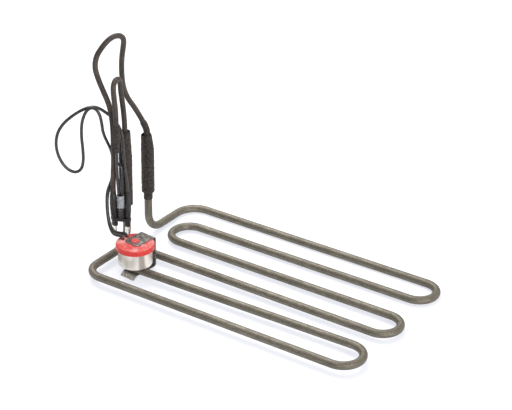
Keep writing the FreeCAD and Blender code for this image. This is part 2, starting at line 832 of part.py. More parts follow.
def booted_tab(prefix, across, back, turn, cord_diameter):
    """A flat tab with its crimp barrel, in a soft boot that narrows to the wire."""
    title = "".join(word.capitalize() for word in prefix.split("_"))
    x, y = bundle_sizes(across, back)
    facing = value["bundle_turn"] + 90.0 + turn
    foot, length = size["boot_foot"], size["boot_length"]
    pocket = size["boot_pocket_height"]
    collar = cord_diameter + size["boot_collar_wall"] * 2
    sections = [
        oval(title + "BootLow", size["boot_width"], size["boot_depth"], x, y, foot, facing),
        oval(title + "BootMiddle", size["boot_width"], size["boot_depth"], x, y, foot + pocket * 0.9, facing),
        oval(title + "BootHigh", collar + 0.02, collar, x, y, foot + length * 0.84, facing),
        oval(title + "BootCollar", collar + 0.02, collar, x, y, foot + length, facing),
    ]
    outside = doc.addObject("Part::Loft", title + "BootBody")
    outside.Sections = sections
    outside.Solid = True
    outside.Ruled = True
    pocket_low = oval(title + "PocketLow", size["boot_pocket_width"], size["boot_pocket_depth"], x, y, foot, facing)
    pocket_high = oval(
        title + "PocketHigh", size["boot_pocket_width"] * 0.88, size["boot_pocket_depth"] * 0.9,
        x, y, foot + pocket, facing,
    )
    hollow = loft(title + "Pocket", pocket_low, pocket_high)
    bore = cylinder(title + "CollarBore", cord_diameter, x, y, foot + pocket * 0.5, foot + length)
    named(prefix + "_boot", cut(title + "Boot", outside, hollow, bore))
    tab = tab_body(title, x, y, facing)
    tail_low = size["tab_foot"] + size["tab_length"] - 0.4
    barrel = ring(
        title + "Barrel", size["tab_barrel_diameter"], size["tab_barrel_diameter"] - size["barrel_wall"] * 2,
        x, y, tail_low, tail_low + size["tab_barrel_length"],
    )
    named(prefix + "_tab", fuse(title + "Terminal", tab, barrel))


def tab_body(title, x, y, facing):
    """The flat blade of a tab, with a chamfered tip, a hole and a neck."""
    half, chamfer = size["tab_width"] / 2, size["tab_chamfer"]
    neck, neck_height = size["tab_neck_width"] / 2, size["tab_neck_height"]
    length = size["tab_length"]
    shoulder = length - neck_height
    middle = size["tab_width"] / 2
    outline = [
        (chamfer, 0), (half * 2 - chamfer, 0), (half * 2, chamfer * 1.4),
        (half * 2, shoulder), (middle + neck, shoulder), (middle + neck, length),
        (middle - neck, length), (middle - neck, shoulder), (0, shoulder), (0, chamfer * 1.4),
    ]
    body = doc.addObject("PartDesign::Body", title + "Tab")
    sketch = profile(body, "XZ_Plane", outline)
    pad = body.newObject("PartDesign::Pad", title + "TabPad")
    pad.Profile = sketch
    bind(pad, Length=size["tab_thick"])
    doc.recompute()
    turn = math.radians(facing)
    thick, width = size["tab_thick"] / 2, size["tab_width"] / 2
    cosine, sine = math.cos(turn), math.sin(turn)
    lean = 1.0 if pad.Shape.BoundBox.YMin < -0.01 else -1.0
    place(
        body, x - width * cosine - thick * (lean * sine), y - width * sine + thick * (lean * cosine),
        size["tab_foot"], facing,
    )
    hole = doc.addObject("Part::Cylinder", title + "TabHole")
    bind(hole, Radius=size["tab_hole_diameter"] / 2, Height=size["tab_thick"] * 4)
    hole.Placement = Placement(
        Vector(x.number + 2 * value["tab_thick"] * sine, y.number - 2 * value["tab_thick"] * cosine,
               value["tab_foot"] + value["tab_hole_height"]),
        Rotation(Vector(0, 0, 1), facing).multiply(Rotation(Vector(1, 0, 0), -90)),
    )
    return cut(title + "Blade", body, hole)


def slot_face(first, second, radius):
    """A flat face with round ends around two points."""
    along = (second - first).normalize()
    side = Vector(-along.y, along.x, 0) * radius
    tip = along * radius
    return Part.Face(Part.Wire([
        Part.LineSegment(first + side, second + side).toShape(),
        Part.Arc(second + side, second + tip, second - side).toShape(),
        Part.LineSegment(second - side, first - side).toShape(),
        Part.Arc(first - side, first - tip, first + side).toShape(),
    ]))


def round_slot(first, second, reach, half, corner):
    """A flat face round two points: a rectangle with rounded corners that reaches past them."""
    along = (second - first).normalize()
    side = Vector(-along.y, along.x, 0)
    ends = (first - along * reach, second + along * reach)
    edges, places = [], []
    for end, outward, turn in ((ends[1], along, 1), (ends[0], -along, -1)):
        for flank in (-turn, turn):
            inner = end - outward * corner + side * (flank * (half - corner))
            across, ahead = side * (flank * corner), outward * corner
            round_start, round_end = (across, ahead) if flank == -turn else (ahead, across)
            middle = (across + ahead) / math.sqrt(2)
            places.append([inner + round_start, inner + middle, inner + round_end])
    for number, stops in enumerate(places):
        edges.append(Part.Arc(*stops).toShape())
        edges.append(Part.LineSegment(stops[-1], places[(number + 1) % 4][0]).toShape())
    return Part.Face(Part.Wire(edges))


def cable_tie():
    """A thin band pulled round the two boots and the joint cap, with its square head behind."""
    low = value["tie_height"] - value["tie_width"] / 2
    left = bundle_point(value["long_boot_shift"], value["long_boot_back"], low)
    right = bundle_point(value["switch_boot_shift"], value["switch_boot_back"], low)
    reach, half, corner = value["tie_end_reach"], value["tie_half_depth"], value["tie_corner_radius"]
    thick = value["tie_thick"]
    inside = round_slot(left, right, reach, half, corner)
    outside = round_slot(left, right, reach + thick, half + thick, corner + thick)
    up = Vector(0, 0, value["tie_width"])
    band = outside.cut(inside).extrude(up)
    head = value["tie_head"]
    box = Part.makeBox(head, head * 0.8, head, Vector(-head / 2, 0, -head / 2))
    box = box.makeFillet(head * 0.12, box.Edges)
    middle = bundle_point(
        value["tie_head_shift"], value["long_boot_back"] + half + thick * 0.5, value["tie_height"],
    )
    box.Placement = Placement(middle, Rotation(Vector(0, 0, 1), value["bundle_turn"]))
    room = inside.extrude(up * 4)
    room.translate(Vector(0, 0, -value["tie_width"] * 1.5))
    named("cable_tie", feature("CableTie", band.fuse(box.cut(room)).removeSplitter()))


# Temperature switch

cup_radius = size["cup_diameter"] / 2
cup_inside = cup_radius - size["cup_wall"]
seat_height = size["leg_height"] + size["sheath_diameter"] / 2


def switch_shell():
    """The drawn metal cup and the moulded cap that closes it."""
    x, y = size["switch_x"], size["switch_y"]
    rim = size["cup_show"] + size["cup_lap"]
    cup = turned("Cup", [
        (0, 0), (cup_radius, 0), (cup_radius, rim), (cup_inside, rim),
        (cup_inside, size["cup_floor"]), (0, size["cup_floor"]),
    ], x, y, seat_height)
    bottom = cup_radius.number
    rounded(
        cup, "CupRound", size["cup_round"],
        lambda edge, middle: edge.Closed and middle.z < 0.01
        and abs(math.hypot(middle.x, middle.y) - bottom) < 0.01,
    )
    named("switch_cup", cup)
    radius = size["cap_diameter"] / 2
    clearance = size["fit_clearance"]
    inner = cup_inside - clearance
    cavity = inner - size["cap_inner_wall"]
    groove = size["cup_lap"] + clearance
    top, nub = size["cap_height"], size["nub_diameter"] / 2
    cap = turned("Cap", [
        (cavity, 0), (inner, 0), (inner, groove), (cup_radius + clearance, groove),
        (cup_radius + clearance, 0), (radius, 0), (radius, top), (nub, top),
        (nub, top + size["nub_height"]), (0, top + size["nub_height"]),
        (0, top - size["cap_top"]), (cavity, top - size["cap_top"]),
    ], x, y, cap_low)
    edge_radius, nub_radius = radius.number, nub.number
    high, nub_high = top.number, top.number + value["nub_height"]
    rounded(
        cap, "CapRound", size["cap_round"],
        lambda edge, middle: edge.Closed and abs(middle.z - high) < 0.01
        and abs(math.hypot(middle.x, middle.y) - edge_radius) < 0.01,
    )
    rounded(
        cap, "NubRound", size["nub_round"],
        lambda edge, middle: edge.Closed and abs(middle.z - nub_high) < 0.01
        and abs(math.hypot(middle.x, middle.y) - nub_radius) < 0.01,
    )
    holes = []
    for name, angle in (("SpliceWireHole", "splice_wire_angle"), ("LoopedWireHole", "looped_wire_angle")):
        spot = wire_hole(value[angle], 0)
        across = f"(Sizes.switch_x + Sizes.wire_hole_ring * cos(Sizes.{angle} * 1deg))"
        along = f"(Sizes.switch_y + Sizes.wire_hole_ring * sin(Sizes.{angle} * 1deg))"
        holes.append(cylinder(
            name, size["wire_diameter"] + clearance * 2, Size(spot.x, across), Size(spot.y, along),
            cap_low, cap_top + 1.0,
        ))
    named("switch_cap", cut("CapWithHoles", cap, *holes))


def bimetal_disc():
    """A thin dished disc on the cup's floor, crowned upward."""
    rise, radius = value["disc_rise"], value["disc_diameter"] / 2
    sphere = (radius ** 2 + rise ** 2) / (2 * rise)
    floor = Vector(value["switch_x"], value["switch_y"], seat_height.number + value["cup_floor"])
    centre = floor + Vector(0, 0, rise - sphere)
    outer = Part.makeSphere(sphere + value["disc_thick"], centre)
    inner = Part.makeSphere(sphere, centre)
    blank = Part.makeCylinder(radius, rise * 4, floor)
    named("bimetal_disc", feature("BimetalDisc", outer.cut(inner).common(blank)))


def switch_inside():
    """The moulded base with the striker, the posts, the arm, the contacts and the lugs."""
    x, y = size["switch_x"], size["switch_y"]
    radius = cup_inside - size["fit_clearance"]
    height, room = size["base_height"], size["disc_room_diameter"] / 2
    bore = size["striker_diameter"] / 2 + size["striker_clearance"]
    upper, floor = size["contact_room_diameter"] / 2, height - size["contact_room_height"]
    base = turned("Base", [
        (room, 0), (radius, 0), (radius, height), (upper, height), (upper, floor),
        (bore, floor), (bore, size["disc_room_height"]), (room, size["disc_room_height"]),
    ], x, y, base_low)
    named("switch_base", base)
    room_floor = base_low + floor
    arm_low = room_floor + size["arm_height"]
    disc_top = seat_height + size["cup_floor"] + size["disc_rise"] + size["disc_thick"]
    striker_low = disc_top + size["fit_clearance"]
    striker = turned("Striker", [
        (0, 0), (size["striker_diameter"] / 2 - 0.5, 0), (size["striker_diameter"] / 2, 0.5),
        (size["striker_diameter"] / 2, arm_low - striker_low - 0.5),
        (size["striker_diameter"] / 2 - 0.5, arm_low - striker_low), (0, arm_low - striker_low),
    ], x, y, striker_low)
    named("striker_pin", striker)
    post_radius, offset = size["post_diameter"] / 2, size["post_offset"]
    post_height = size["contact_room_height"]
    collar = size["collar_diameter"] / 2
    named("arm_post", turned("ArmPost", [
        (0, 0), (collar, 0), (collar, size["arm_height"]), (post_radius, size["arm_height"]),
        (post_radius, post_height), (0, post_height),
    ], x, y - offset, room_floor))
    fixed_post = cylinder("FixedPostBar", size["post_diameter"], x, y + offset, room_floor, room_floor + post_height)
    middle = Vector(value["switch_x"], value["switch_y"], room_floor.number)
    reach = Vector(0, value["contact_offset"], 0), Vector(0, value["post_offset"], 0)
    foot = slot_face(middle + reach[0], middle + reach[1], value["collar_diameter"] / 2 - 0.4)
    foot_plate = feature("FixedFoot", foot.extrude(Vector(0, 0, value["foot_thick"])))
    named("fixed_post", fuse("FixedPost", fixed_post, foot_plate))
    contact_y = y + size["contact_offset"]
    contact_low = room_floor + size["foot_thick"]
    contact_middle = contact_low + (size["arm_height"] - size["foot_thick"]) / 2
    named("fixed_contact", cylinder(
        "FixedContact", size["contact_diameter"], x, contact_y, contact_low, contact_middle,
    ))
    named("moving_contact", cylinder(
        "MovingContact", size["contact_diameter"], x, contact_y, contact_middle, arm_low,
    ))
    strip = doc.addObject("Part::Box", "ArmStrip")
    bind(
        strip, Length=size["arm_width"], Height=size["arm_thick"],
        Width=offset + size["contact_offset"] + collar + size["contact_diameter"] / 2 + 0.3,
    )
    place(strip, x - size["arm_width"] / 2, y - offset - collar, arm_low)
    strip_hole = cylinder("ArmHole", size["post_diameter"], x, y - offset, arm_low, arm_low + size["arm_thick"])
    named("contact_arm", cut("ContactArm", strip, strip_hole))
    for name, angle, side in (("fixed_lug", "splice_wire_angle", 1), ("arm_lug", "looped_wire_angle", -1)):
        named(name, feature(name.title().replace("_", ""), lug_shape(value[angle], side)))


def lug_shape(angle, side):
    """A flat strip on the base from the top of a post to the end of a wire."""
    start = Vector(value["switch_x"], value["switch_y"] + side * value["post_offset"], lug_low.number)
    end = wire_hole(angle, lug_low.number)
    return slot_face(start, end, value["lug_width"] / 2).extrude(Vector(0, 0, value["lug_thick"]))


# Strap clip

def strap_clip():
    """One bent strip: over the cap, down behind the cup, under the leg and out in a toothed lip."""
    x, y = size["switch_x"], size["switch_y"]
    start = -size["clip_lip_end"]
    thick = size["clip_thick"]
    top = cap_top + thick
    jaw_top = size["leg_height"] - size["sheath_diameter"] / 2 - size["fit_clearance"]
    jaw_low = jaw_top - thick
    back = size["clip_back"] + start
    lip = size["clip_lip_start"] + start
    front = size["clip_front"] + start
    outline = [
        (0, 0), (0, thick * 1.05), (lip, jaw_top), (back, jaw_top), (back, cap_top),
        (front, cap_top), (front, top), (back + thick, top), (back + thick, jaw_low),
        (lip + thick * 0.5, jaw_low),
    ]
    body = doc.addObject("PartDesign::Body", "StrapClip")
    sketch = profile(body, "YZ_Plane", outline)
    pad = body.newObject("PartDesign::Pad", "StrapPad")
    pad.Profile = sketch
    bind(pad, Length=size["clip_width"])
    doc.recompute()
    inside, outside = size["clip_bend_radius"], size["clip_bend_radius"] + thick
    for name, amount, place_y, place_z in (
        ("InnerBendHigh", inside, back.number, cap_top.number),
        ("OuterBendHigh", outside, (back + thick).number, top.number),
        ("InnerBendLow", inside, back.number, jaw_top.number),
        ("OuterBendLow", outside, (back + thick).number, jaw_low.number),
    ):
        rounded(
            body, name, amount,
            lambda edge, middle, py=place_y, pz=place_z: abs(middle.y - py) < 0.01
            and abs(middle.z - pz) < 0.01 and edge.Length > value["clip_width"] * 0.9,
        )
    rounded(
        body, "PlateCorners", size["clip_corner_radius"],
        lambda edge, middle: abs(middle.y - front.number) < 0.01
        and abs(edge.Length - value["clip_thick"]) < 0.01,
    )
    turn = math.radians(value["clip_turn"])
    width = size["clip_width"] / 2
    side = 1.0 if pad.Shape.BoundBox.XMax > 0.01 else -1.0
    cosine, sine = math.cos(turn), math.sin(turn)
    place(
        body, x - width * (side * cosine) + start * sine, y - width * (side * sine) - start * cosine,
        0, value["clip_turn"],
    )
    hole = cylinder(
        "NubHole", size["nub_diameter"] + size["clip_hole_clearance"] * 2, x, y, cap_top - 1.0, top + 1.0,
    )
    slit = doc.addObject("Part::Box", "Slit")
    bind(slit, Length=size["clip_slit_length"], Width=size["clip_slit_width"], Height=thick * 3)
    reach, half = size["clip_slit_place"], size["clip_slit_length"] / 2
    place(
        slit, x - half * cosine - reach * sine, y - half * sine + reach * cosine,
        cap_top - thick, value["clip_turn"],
    )
    teeth = feature("ToothGaps", tooth_gaps())
    named("strap_clip", cut("StrapClipWhole", body, hole, slit, teeth))


def tooth_gaps():
    """Wedges that notch the lip's free edge."""
    pitch, depth = value["clip_tooth_pitch"], value["clip_tooth_depth"]
    count = int(value["clip_width"] / pitch)
    edge = value["clip_lip_end"]
    height = value["leg_height"]
    middle = Vector(value["switch_x"], value["switch_y"], 0)
    spot = Placement(middle, Rotation(Vector(0, 0, 1), value["clip_turn"]))
    wedges = []
    for number in range(count):
        across = (number - (count - 1) / 2) * pitch
        corners = [
            spot.multVec(Vector(across - pitch * 0.36, edge - depth, -depth)),
            spot.multVec(Vector(across + pitch * 0.36, edge - depth, -depth)),
            spot.multVec(Vector(across, edge + depth, -depth)),
        ]
        face = Part.Face(Part.makePolygon(corners + corners[:1]))
        wedges.append(face.extrude(Vector(0, 0, height)))
    return Part.makeCompound(wedges)


sheath_and_filling()
lead_bare, wire_bare = value["lead_stripped"], value["wire_stripped"]
tab_bare = value["tab_stripped"]
lead_wire = cord("long_lead", long_lead_route(), value["lead_diameter"], lead_bare, tab_bare)
cord("short_lead", short_lead_route(), value["lead_diameter"], lead_bare, wire_bare)
cord("jumper_wire", jumper_route(), value["wire_diameter"], wire_bare, wire_bare)
cord("splice_wire", splice_wire_route(), value["wire_diameter"], value["lug_wire_gap"], wire_bare)
cord("looped_wire", looped_wire_route(), value["wire_diameter"], value["lug_wire_gap"], tab_bare)
riser_end(
    "back", size["back_riser_y"], size["back_inner_sleeve_foot"],
    size["back_outer_sleeve_foot"], size["back_sleeve_reach"], size["back_sleeve_taper"],
    sleeve_neck_piece(lead_wire),
)
riser_end(
    "front", size["front_riser_y"], size["front_inner_sleeve_foot"],
    size["front_outer_sleeve_foot"], size["front_sleeve_reach"], size["front_sleeve_taper"], None,
)
splice_pieces()
joint_cap_pieces()
booted_tab("long_lead", size["long_boot_shift"], size["long_boot_back"], value["long_boot_turn"],
           size["lead_diameter"])
booted_tab("switch_wire", size["switch_boot_shift"], size["switch_boot_back"], value["switch_boot_turn"],
           size["wire_diameter"])
cable_tie()
switch_shell()
bimetal_disc()
switch_inside()
strap_clip()
doc.recompute()

faults = [thing.Name for thing in doc.Objects if "Invalid" in thing.State or "Error" in thing.State]
for node, thing in parts.items():
    if thing.Shape.isNull() or not thing.Shape.isValid() or not thing.Shape.Solids:
        faults.append(node)
if faults:
    raise RuntimeError("these objects failed: " + ", ".join(faults))

os.makedirs("parts", exist_ok=True)
for node, thing in parts.items():
    thing.Shape.exportStep(f"parts/{node}.step")
print(len(parts), "sub-parts written")
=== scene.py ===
import bmesh
import bpy
import math
from mathutils import Matrix, Vector, noise


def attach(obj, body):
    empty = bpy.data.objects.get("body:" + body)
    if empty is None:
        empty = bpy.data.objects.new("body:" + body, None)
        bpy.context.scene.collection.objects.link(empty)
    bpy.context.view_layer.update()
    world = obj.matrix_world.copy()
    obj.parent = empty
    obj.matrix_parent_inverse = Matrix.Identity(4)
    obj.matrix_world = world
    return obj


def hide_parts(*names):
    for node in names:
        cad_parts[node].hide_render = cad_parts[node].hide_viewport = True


# A serpentine tubular heater: sleeved risers, looped leads tied in a bundle, and a
# round switch that a spring clip holds on one leg.
# Tables are in millimetres and degrees, and every mesh is made in metres.

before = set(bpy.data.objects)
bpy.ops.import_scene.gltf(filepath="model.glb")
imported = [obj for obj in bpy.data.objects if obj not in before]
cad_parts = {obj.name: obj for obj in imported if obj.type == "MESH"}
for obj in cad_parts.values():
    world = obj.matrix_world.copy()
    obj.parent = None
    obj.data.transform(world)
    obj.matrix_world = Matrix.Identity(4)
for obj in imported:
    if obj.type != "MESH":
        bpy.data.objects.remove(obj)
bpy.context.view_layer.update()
MM = 0.001
UP = Vector((0.0, 0.0, 1.0))
# Level directions as the camera sees them: to its right, and away from it
RIGHT = Vector((0.835, 0.550, 0.0))
AWAY = Vector((-0.550, 0.835, 0.0))


def metres(point):
    """A point of a table in metres."""
    return Vector(point) * MM


# Node trees

class Value:
    """A socket's value; arithmetic on it adds Math nodes."""

    def __init__(self, tree, socket):
        self.tree = tree
        self.socket = socket

    def math(self, operation, *inputs):
        return self.tree.node("ShaderNodeMath", {"operation": operation}, inputs)

    def __add__(self, other):
        return self.math("ADD", self, other)

    __radd__ = __add__

    def __sub__(self, other):
        return self.math("SUBTRACT", self, other)

    def __rsub__(self, other):
        return self.math("SUBTRACT", other, self)

    def __mul__(self, other):
        return self.math("MULTIPLY", self, other)

    __rmul__ = __mul__

    def held(self):
        """The value kept between 0 and 1."""
        return self.math("MINIMUM", self.math("MAXIMUM", self, 0.0), 1.0)

    def above(self, low, high):
        """0 below low, 1 above high and a smooth step between."""
        return self.tree.node(
            "ShaderNodeMapRange", {"interpolation_type": "SMOOTHSTEP"},
            {0: self, 1: low, 2: high},
        )


class Tree:
    """A node tree and one way of adding any node to it."""

    def __init__(self, tree):
        self.tree = tree

    def feed(self, socket, amount):
        """Link a value, or each of several, to a socket, or give it a plain amount."""
        if isinstance(amount, Value):
            self.tree.links.new(amount.socket, socket)
        elif isinstance(amount, list):
            for one in amount:
                self.feed(socket, one)
        else:
            socket.default_value = amount

    def node(self, kind, settings=None, inputs=(), output=0):
        """Add a node: its settings, then the values or links of its sockets."""
        node = self.tree.nodes.new(kind)
        for name, setting in (settings or {}).items():
            setattr(node, name, setting)
        pairs = inputs.items() if isinstance(inputs, dict) else enumerate(inputs)
        for key, amount in pairs:
            self.feed(node.inputs[key], amount)
        return Value(self, node.outputs[output]) if node.outputs else None


class Shaper(Tree):
    """A geometry tree whose result is realised and given one finish."""

    def __init__(self, name):
        super().__init__(bpy.data.node_groups.new(name, "GeometryNodeTree"))
        for side in ("INPUT", "OUTPUT"):
            self.tree.interface.new_socket(
                "Geometry", in_out=side, socket_type="NodeSocketGeometry",
            )
        self.sizes = {}

    def base(self):
        """The object's own geometry."""
        return self.node("NodeGroupInput")

    def size(self, name, amount, kind="NodeSocketFloat"):
        """A named input and the value that this object gives it."""
        socket = self.tree.interface.new_socket(name, in_out="INPUT", socket_type=kind)
        self.sizes[socket.identifier] = amount
        return self.node("NodeGroupInput", output=name)

    def mark(self, shape, name, amount):
        """Keep a number on every point under a name that a finish can read."""
        return self.node(
            "GeometryNodeStoreNamedAttribute", {"data_type": "FLOAT", "domain": "POINT"},
            {"Geometry": shape, "Name": name, "Value": amount},
        )

    def made(self, thing, shape, finish):
        """Close the tree, run it on an object and give the plain mesh."""
        shape = self.node("GeometryNodeRealizeInstances", None, [shape])
        shape = self.node(
            "GeometryNodeSetMaterial", None, {"Geometry": shape, "Material": finish.material},
        )
        self.node("NodeGroupOutput", None, [shape])
        modifier = thing.modifiers.new(self.tree.name, "NODES")
        modifier.node_group = self.tree
        for identifier, amount in self.sizes.items():
            modifier[identifier] = amount
        graph = bpy.context.evaluated_depsgraph_get()
        graph.update()
        mesh = bpy.data.meshes.new_from_object(thing.evaluated_get(graph))
        bpy.data.objects.remove(thing)
        return mesh


class Finish(Tree):
    """A material: a principled surface and the patterns that feed it."""

    def __init__(self, name, **surface):
        self.name = name
        self.material = bpy.data.materials.new(name)
        self.material.use_nodes = True
        super().__init__(self.material.node_tree)
        self.surface = self.tree.nodes["Principled BSDF"]
        for socket, amount in surface.items():
            self.set(socket.replace("_", " "), amount)

    def set(self, socket, amount):
        if isinstance(amount, tuple):
            amount = (*amount, 1.0)
        self.feed(self.surface.inputs[socket], amount)

    def place(self, scale=(1.0, 1.0, 1.0), shift=(0.0, 0.0, 0.0), turn=0.0):
        """Object coordinates in millimetres, shifted, turned about Z and stretched."""
        where = self.node("ShaderNodeTexCoord", output="Object")
        where = self.node(
            "ShaderNodeMapping", {"vector_type": "POINT"},
            {"Vector": where, "Location": metres(shift) * -1},
        )
        return self.node(
            "ShaderNodeMapping", {"vector_type": "POINT"},
            {"Vector": where, "Rotation": (0.0, 0.0, turn), "Scale": Vector(scale) / MM},
        )

    def axis(self, where, name):
        return self.node("ShaderNodeSeparateXYZ", None, [where], name)

    def noise(self, where, scale, detail=3.0, rough=0.55):
        return self.node(
            "ShaderNodeTexNoise", None,
            {"Vector": where, "Scale": scale, "Detail": detail, "Roughness": rough},
        )

    def kept(self, name):
        """A number that the shape keeps on its points."""
        return self.node(
            "ShaderNodeAttribute", {"attribute_name": name, "attribute_type": "GEOMETRY"},
            output="Fac",
        )

    def blend(self, mask, first, second):
        """A colour that goes from the first to the second with the mask."""
        first, second = (
            (*colour, 1.0) if isinstance(colour, tuple) else colour for colour in (first, second)
        )
        return self.node(
            "ShaderNodeMix", {"data_type": "RGBA"}, {0: mask, 6: first, 7: second}, 2,
        )

    def relief(self, height, depth):
        """Raise the surface by a height pattern, with its depth in millimetres."""
        self.set("Normal", self.node(
            "ShaderNodeBump", None, {"Height": height, "Distance": depth * MM},
        ))


# Camera and light

IMAGE_WIDTH, FOCAL_PIXELS = 512, 1600.0
SENSOR = 36.0
AZIMUTH, ELEVATION, ROLL = (math.radians(angle) for angle in (33.37, 27.37, 1.11))
DISTANCE = 1410
TARGET = (-77.54, 106.52, 7.0)
# The clip's lip holds the front up, so the floor climbs from it to the back leg's underside
LIP_Y, BACK_LEG_Y, BACK_LEG_FOOT = -52.0, 73.0, 3.7
FLOOR_REACH = 3.0


def camera():
    """The photograph's viewpoint."""
    back = Vector((
        math.sin(AZIMUTH) * math.cos(ELEVATION), -math.cos(AZIMUTH) * math.cos(ELEVATION),
        math.sin(ELEVATION),
    ))
    level = Vector((math.cos(AZIMUTH), math.sin(AZIMUTH), 0.0))
    raised = back.cross(level)
    right = level * math.cos(ROLL) + raised * math.sin(ROLL)
    up = raised * math.cos(ROLL) - level * math.sin(ROLL)
    data = bpy.data.cameras.new("photo_camera")
    data.sensor_width = SENSOR
    data.lens = SENSOR * FOCAL_PIXELS / IMAGE_WIDTH
    data.clip_start, data.clip_end = 0.05, 20.0
    eye = bpy.data.objects.new("photo_camera", data)
    bpy.context.collection.objects.link(eye)
    place = Matrix((right, up, back)).transposed().to_4x4()
    place.translation = metres(TARGET) + back * DISTANCE * MM
    eye.matrix_world = place
    bpy.context.scene.camera = eye


def lamp(name, where, towards, width, power, colour):
    """A soft square light."""
    data = bpy.data.lights.new(name, "AREA")
    data.shape = "SQUARE"
    data.size = width
    data.energy = power
    data.color = colour
    light = bpy.data.objects.new(name, data)
    bpy.context.collection.objects.link(light)
    light.location = where
    light.rotation_euler = (
        (Vector(towards) - Vector(where)).to_track_quat("-Z", "Y").to_euler()
    )


def surround():
    """Even air that is white to the camera and a little brighter above, behind and right."""
    world = bpy.data.worlds.new("surround")
    bpy.context.scene.world = world
    world.use_nodes = True
    air = Tree(world.node_tree)
    seen = air.node("ShaderNodeLightPath", output="Is Camera Ray")
    towards = air.node("ShaderNodeTexCoord", output="Generated")
    east, north, high = (
        air.node("ShaderNodeSeparateXYZ", None, [towards], name).held() for name in "XYZ"
    )
    shade = world.node_tree.nodes["Background"]
    air.feed(shade.inputs["Color"], (0.985, 0.985, 1.0, 1.0))
    glow = 0.32 + high * 0.42 + north * 0.30 + east * 0.35
    air.feed(shade.inputs["Strength"], glow * (1.0 - seen) + seen * 1.12)


def floor():
    """A pale floor that shows shadows, and is near white to the camera."""
    mesh = bpy.data.meshes.new("floor")
    rise = BACK_LEG_FOOT / (BACK_LEG_Y - LIP_Y)
    reach = FLOOR_REACH
    corners = [(-reach, -reach), (reach, -reach), (reach, reach), (-reach, reach)]
    mesh.from_pydata([(x, y, (y - LIP_Y * MM) * rise) for x, y in corners], [], [(0, 1, 2, 3)])
    thing = bpy.data.objects.new("floor", mesh)
    bpy.context.collection.objects.link(thing)
    finish = Finish(
        "pale_floor", Base_Color=(0.48, 0.465, 0.45), Roughness=0.9, Specular_IOR_Level=0.1,
    )
    camera_ray, glossy_ray, clear_ray = (
        finish.node("ShaderNodeLightPath", output=name)
        for name in ("Is Camera Ray", "Is Glossy Ray", "Is Transmission Ray")
    )
    finish.set("Emission Color", (0.87, 0.905, 1.0))
    finish.set("Emission Strength", (camera_ray + glossy_ray + clear_ray).held() * 0.68)
    mesh.materials.append(finish.material)


def studio():
    """The surround, a soft overhead light, a low one from the right, and the floor."""
    bpy.context.scene.view_settings.view_transform = "Standard"
    surround()
    lamp(
        "overhead", where=(-0.55, 0.30, 1.15), towards=(0.0, 0.0, 0.0), width=0.7, power=10.5,
        colour=(1.0, 0.99, 0.98),
    )
    lamp(
        "right_fill", where=(1.3, -0.7, 0.45), towards=(0.0, 0.0, 0.02), width=0.7, power=9.0,
        colour=(1.0, 0.98, 0.95),
    )
    floor()


# Cords: the same routes as the solids, each as one smooth spline

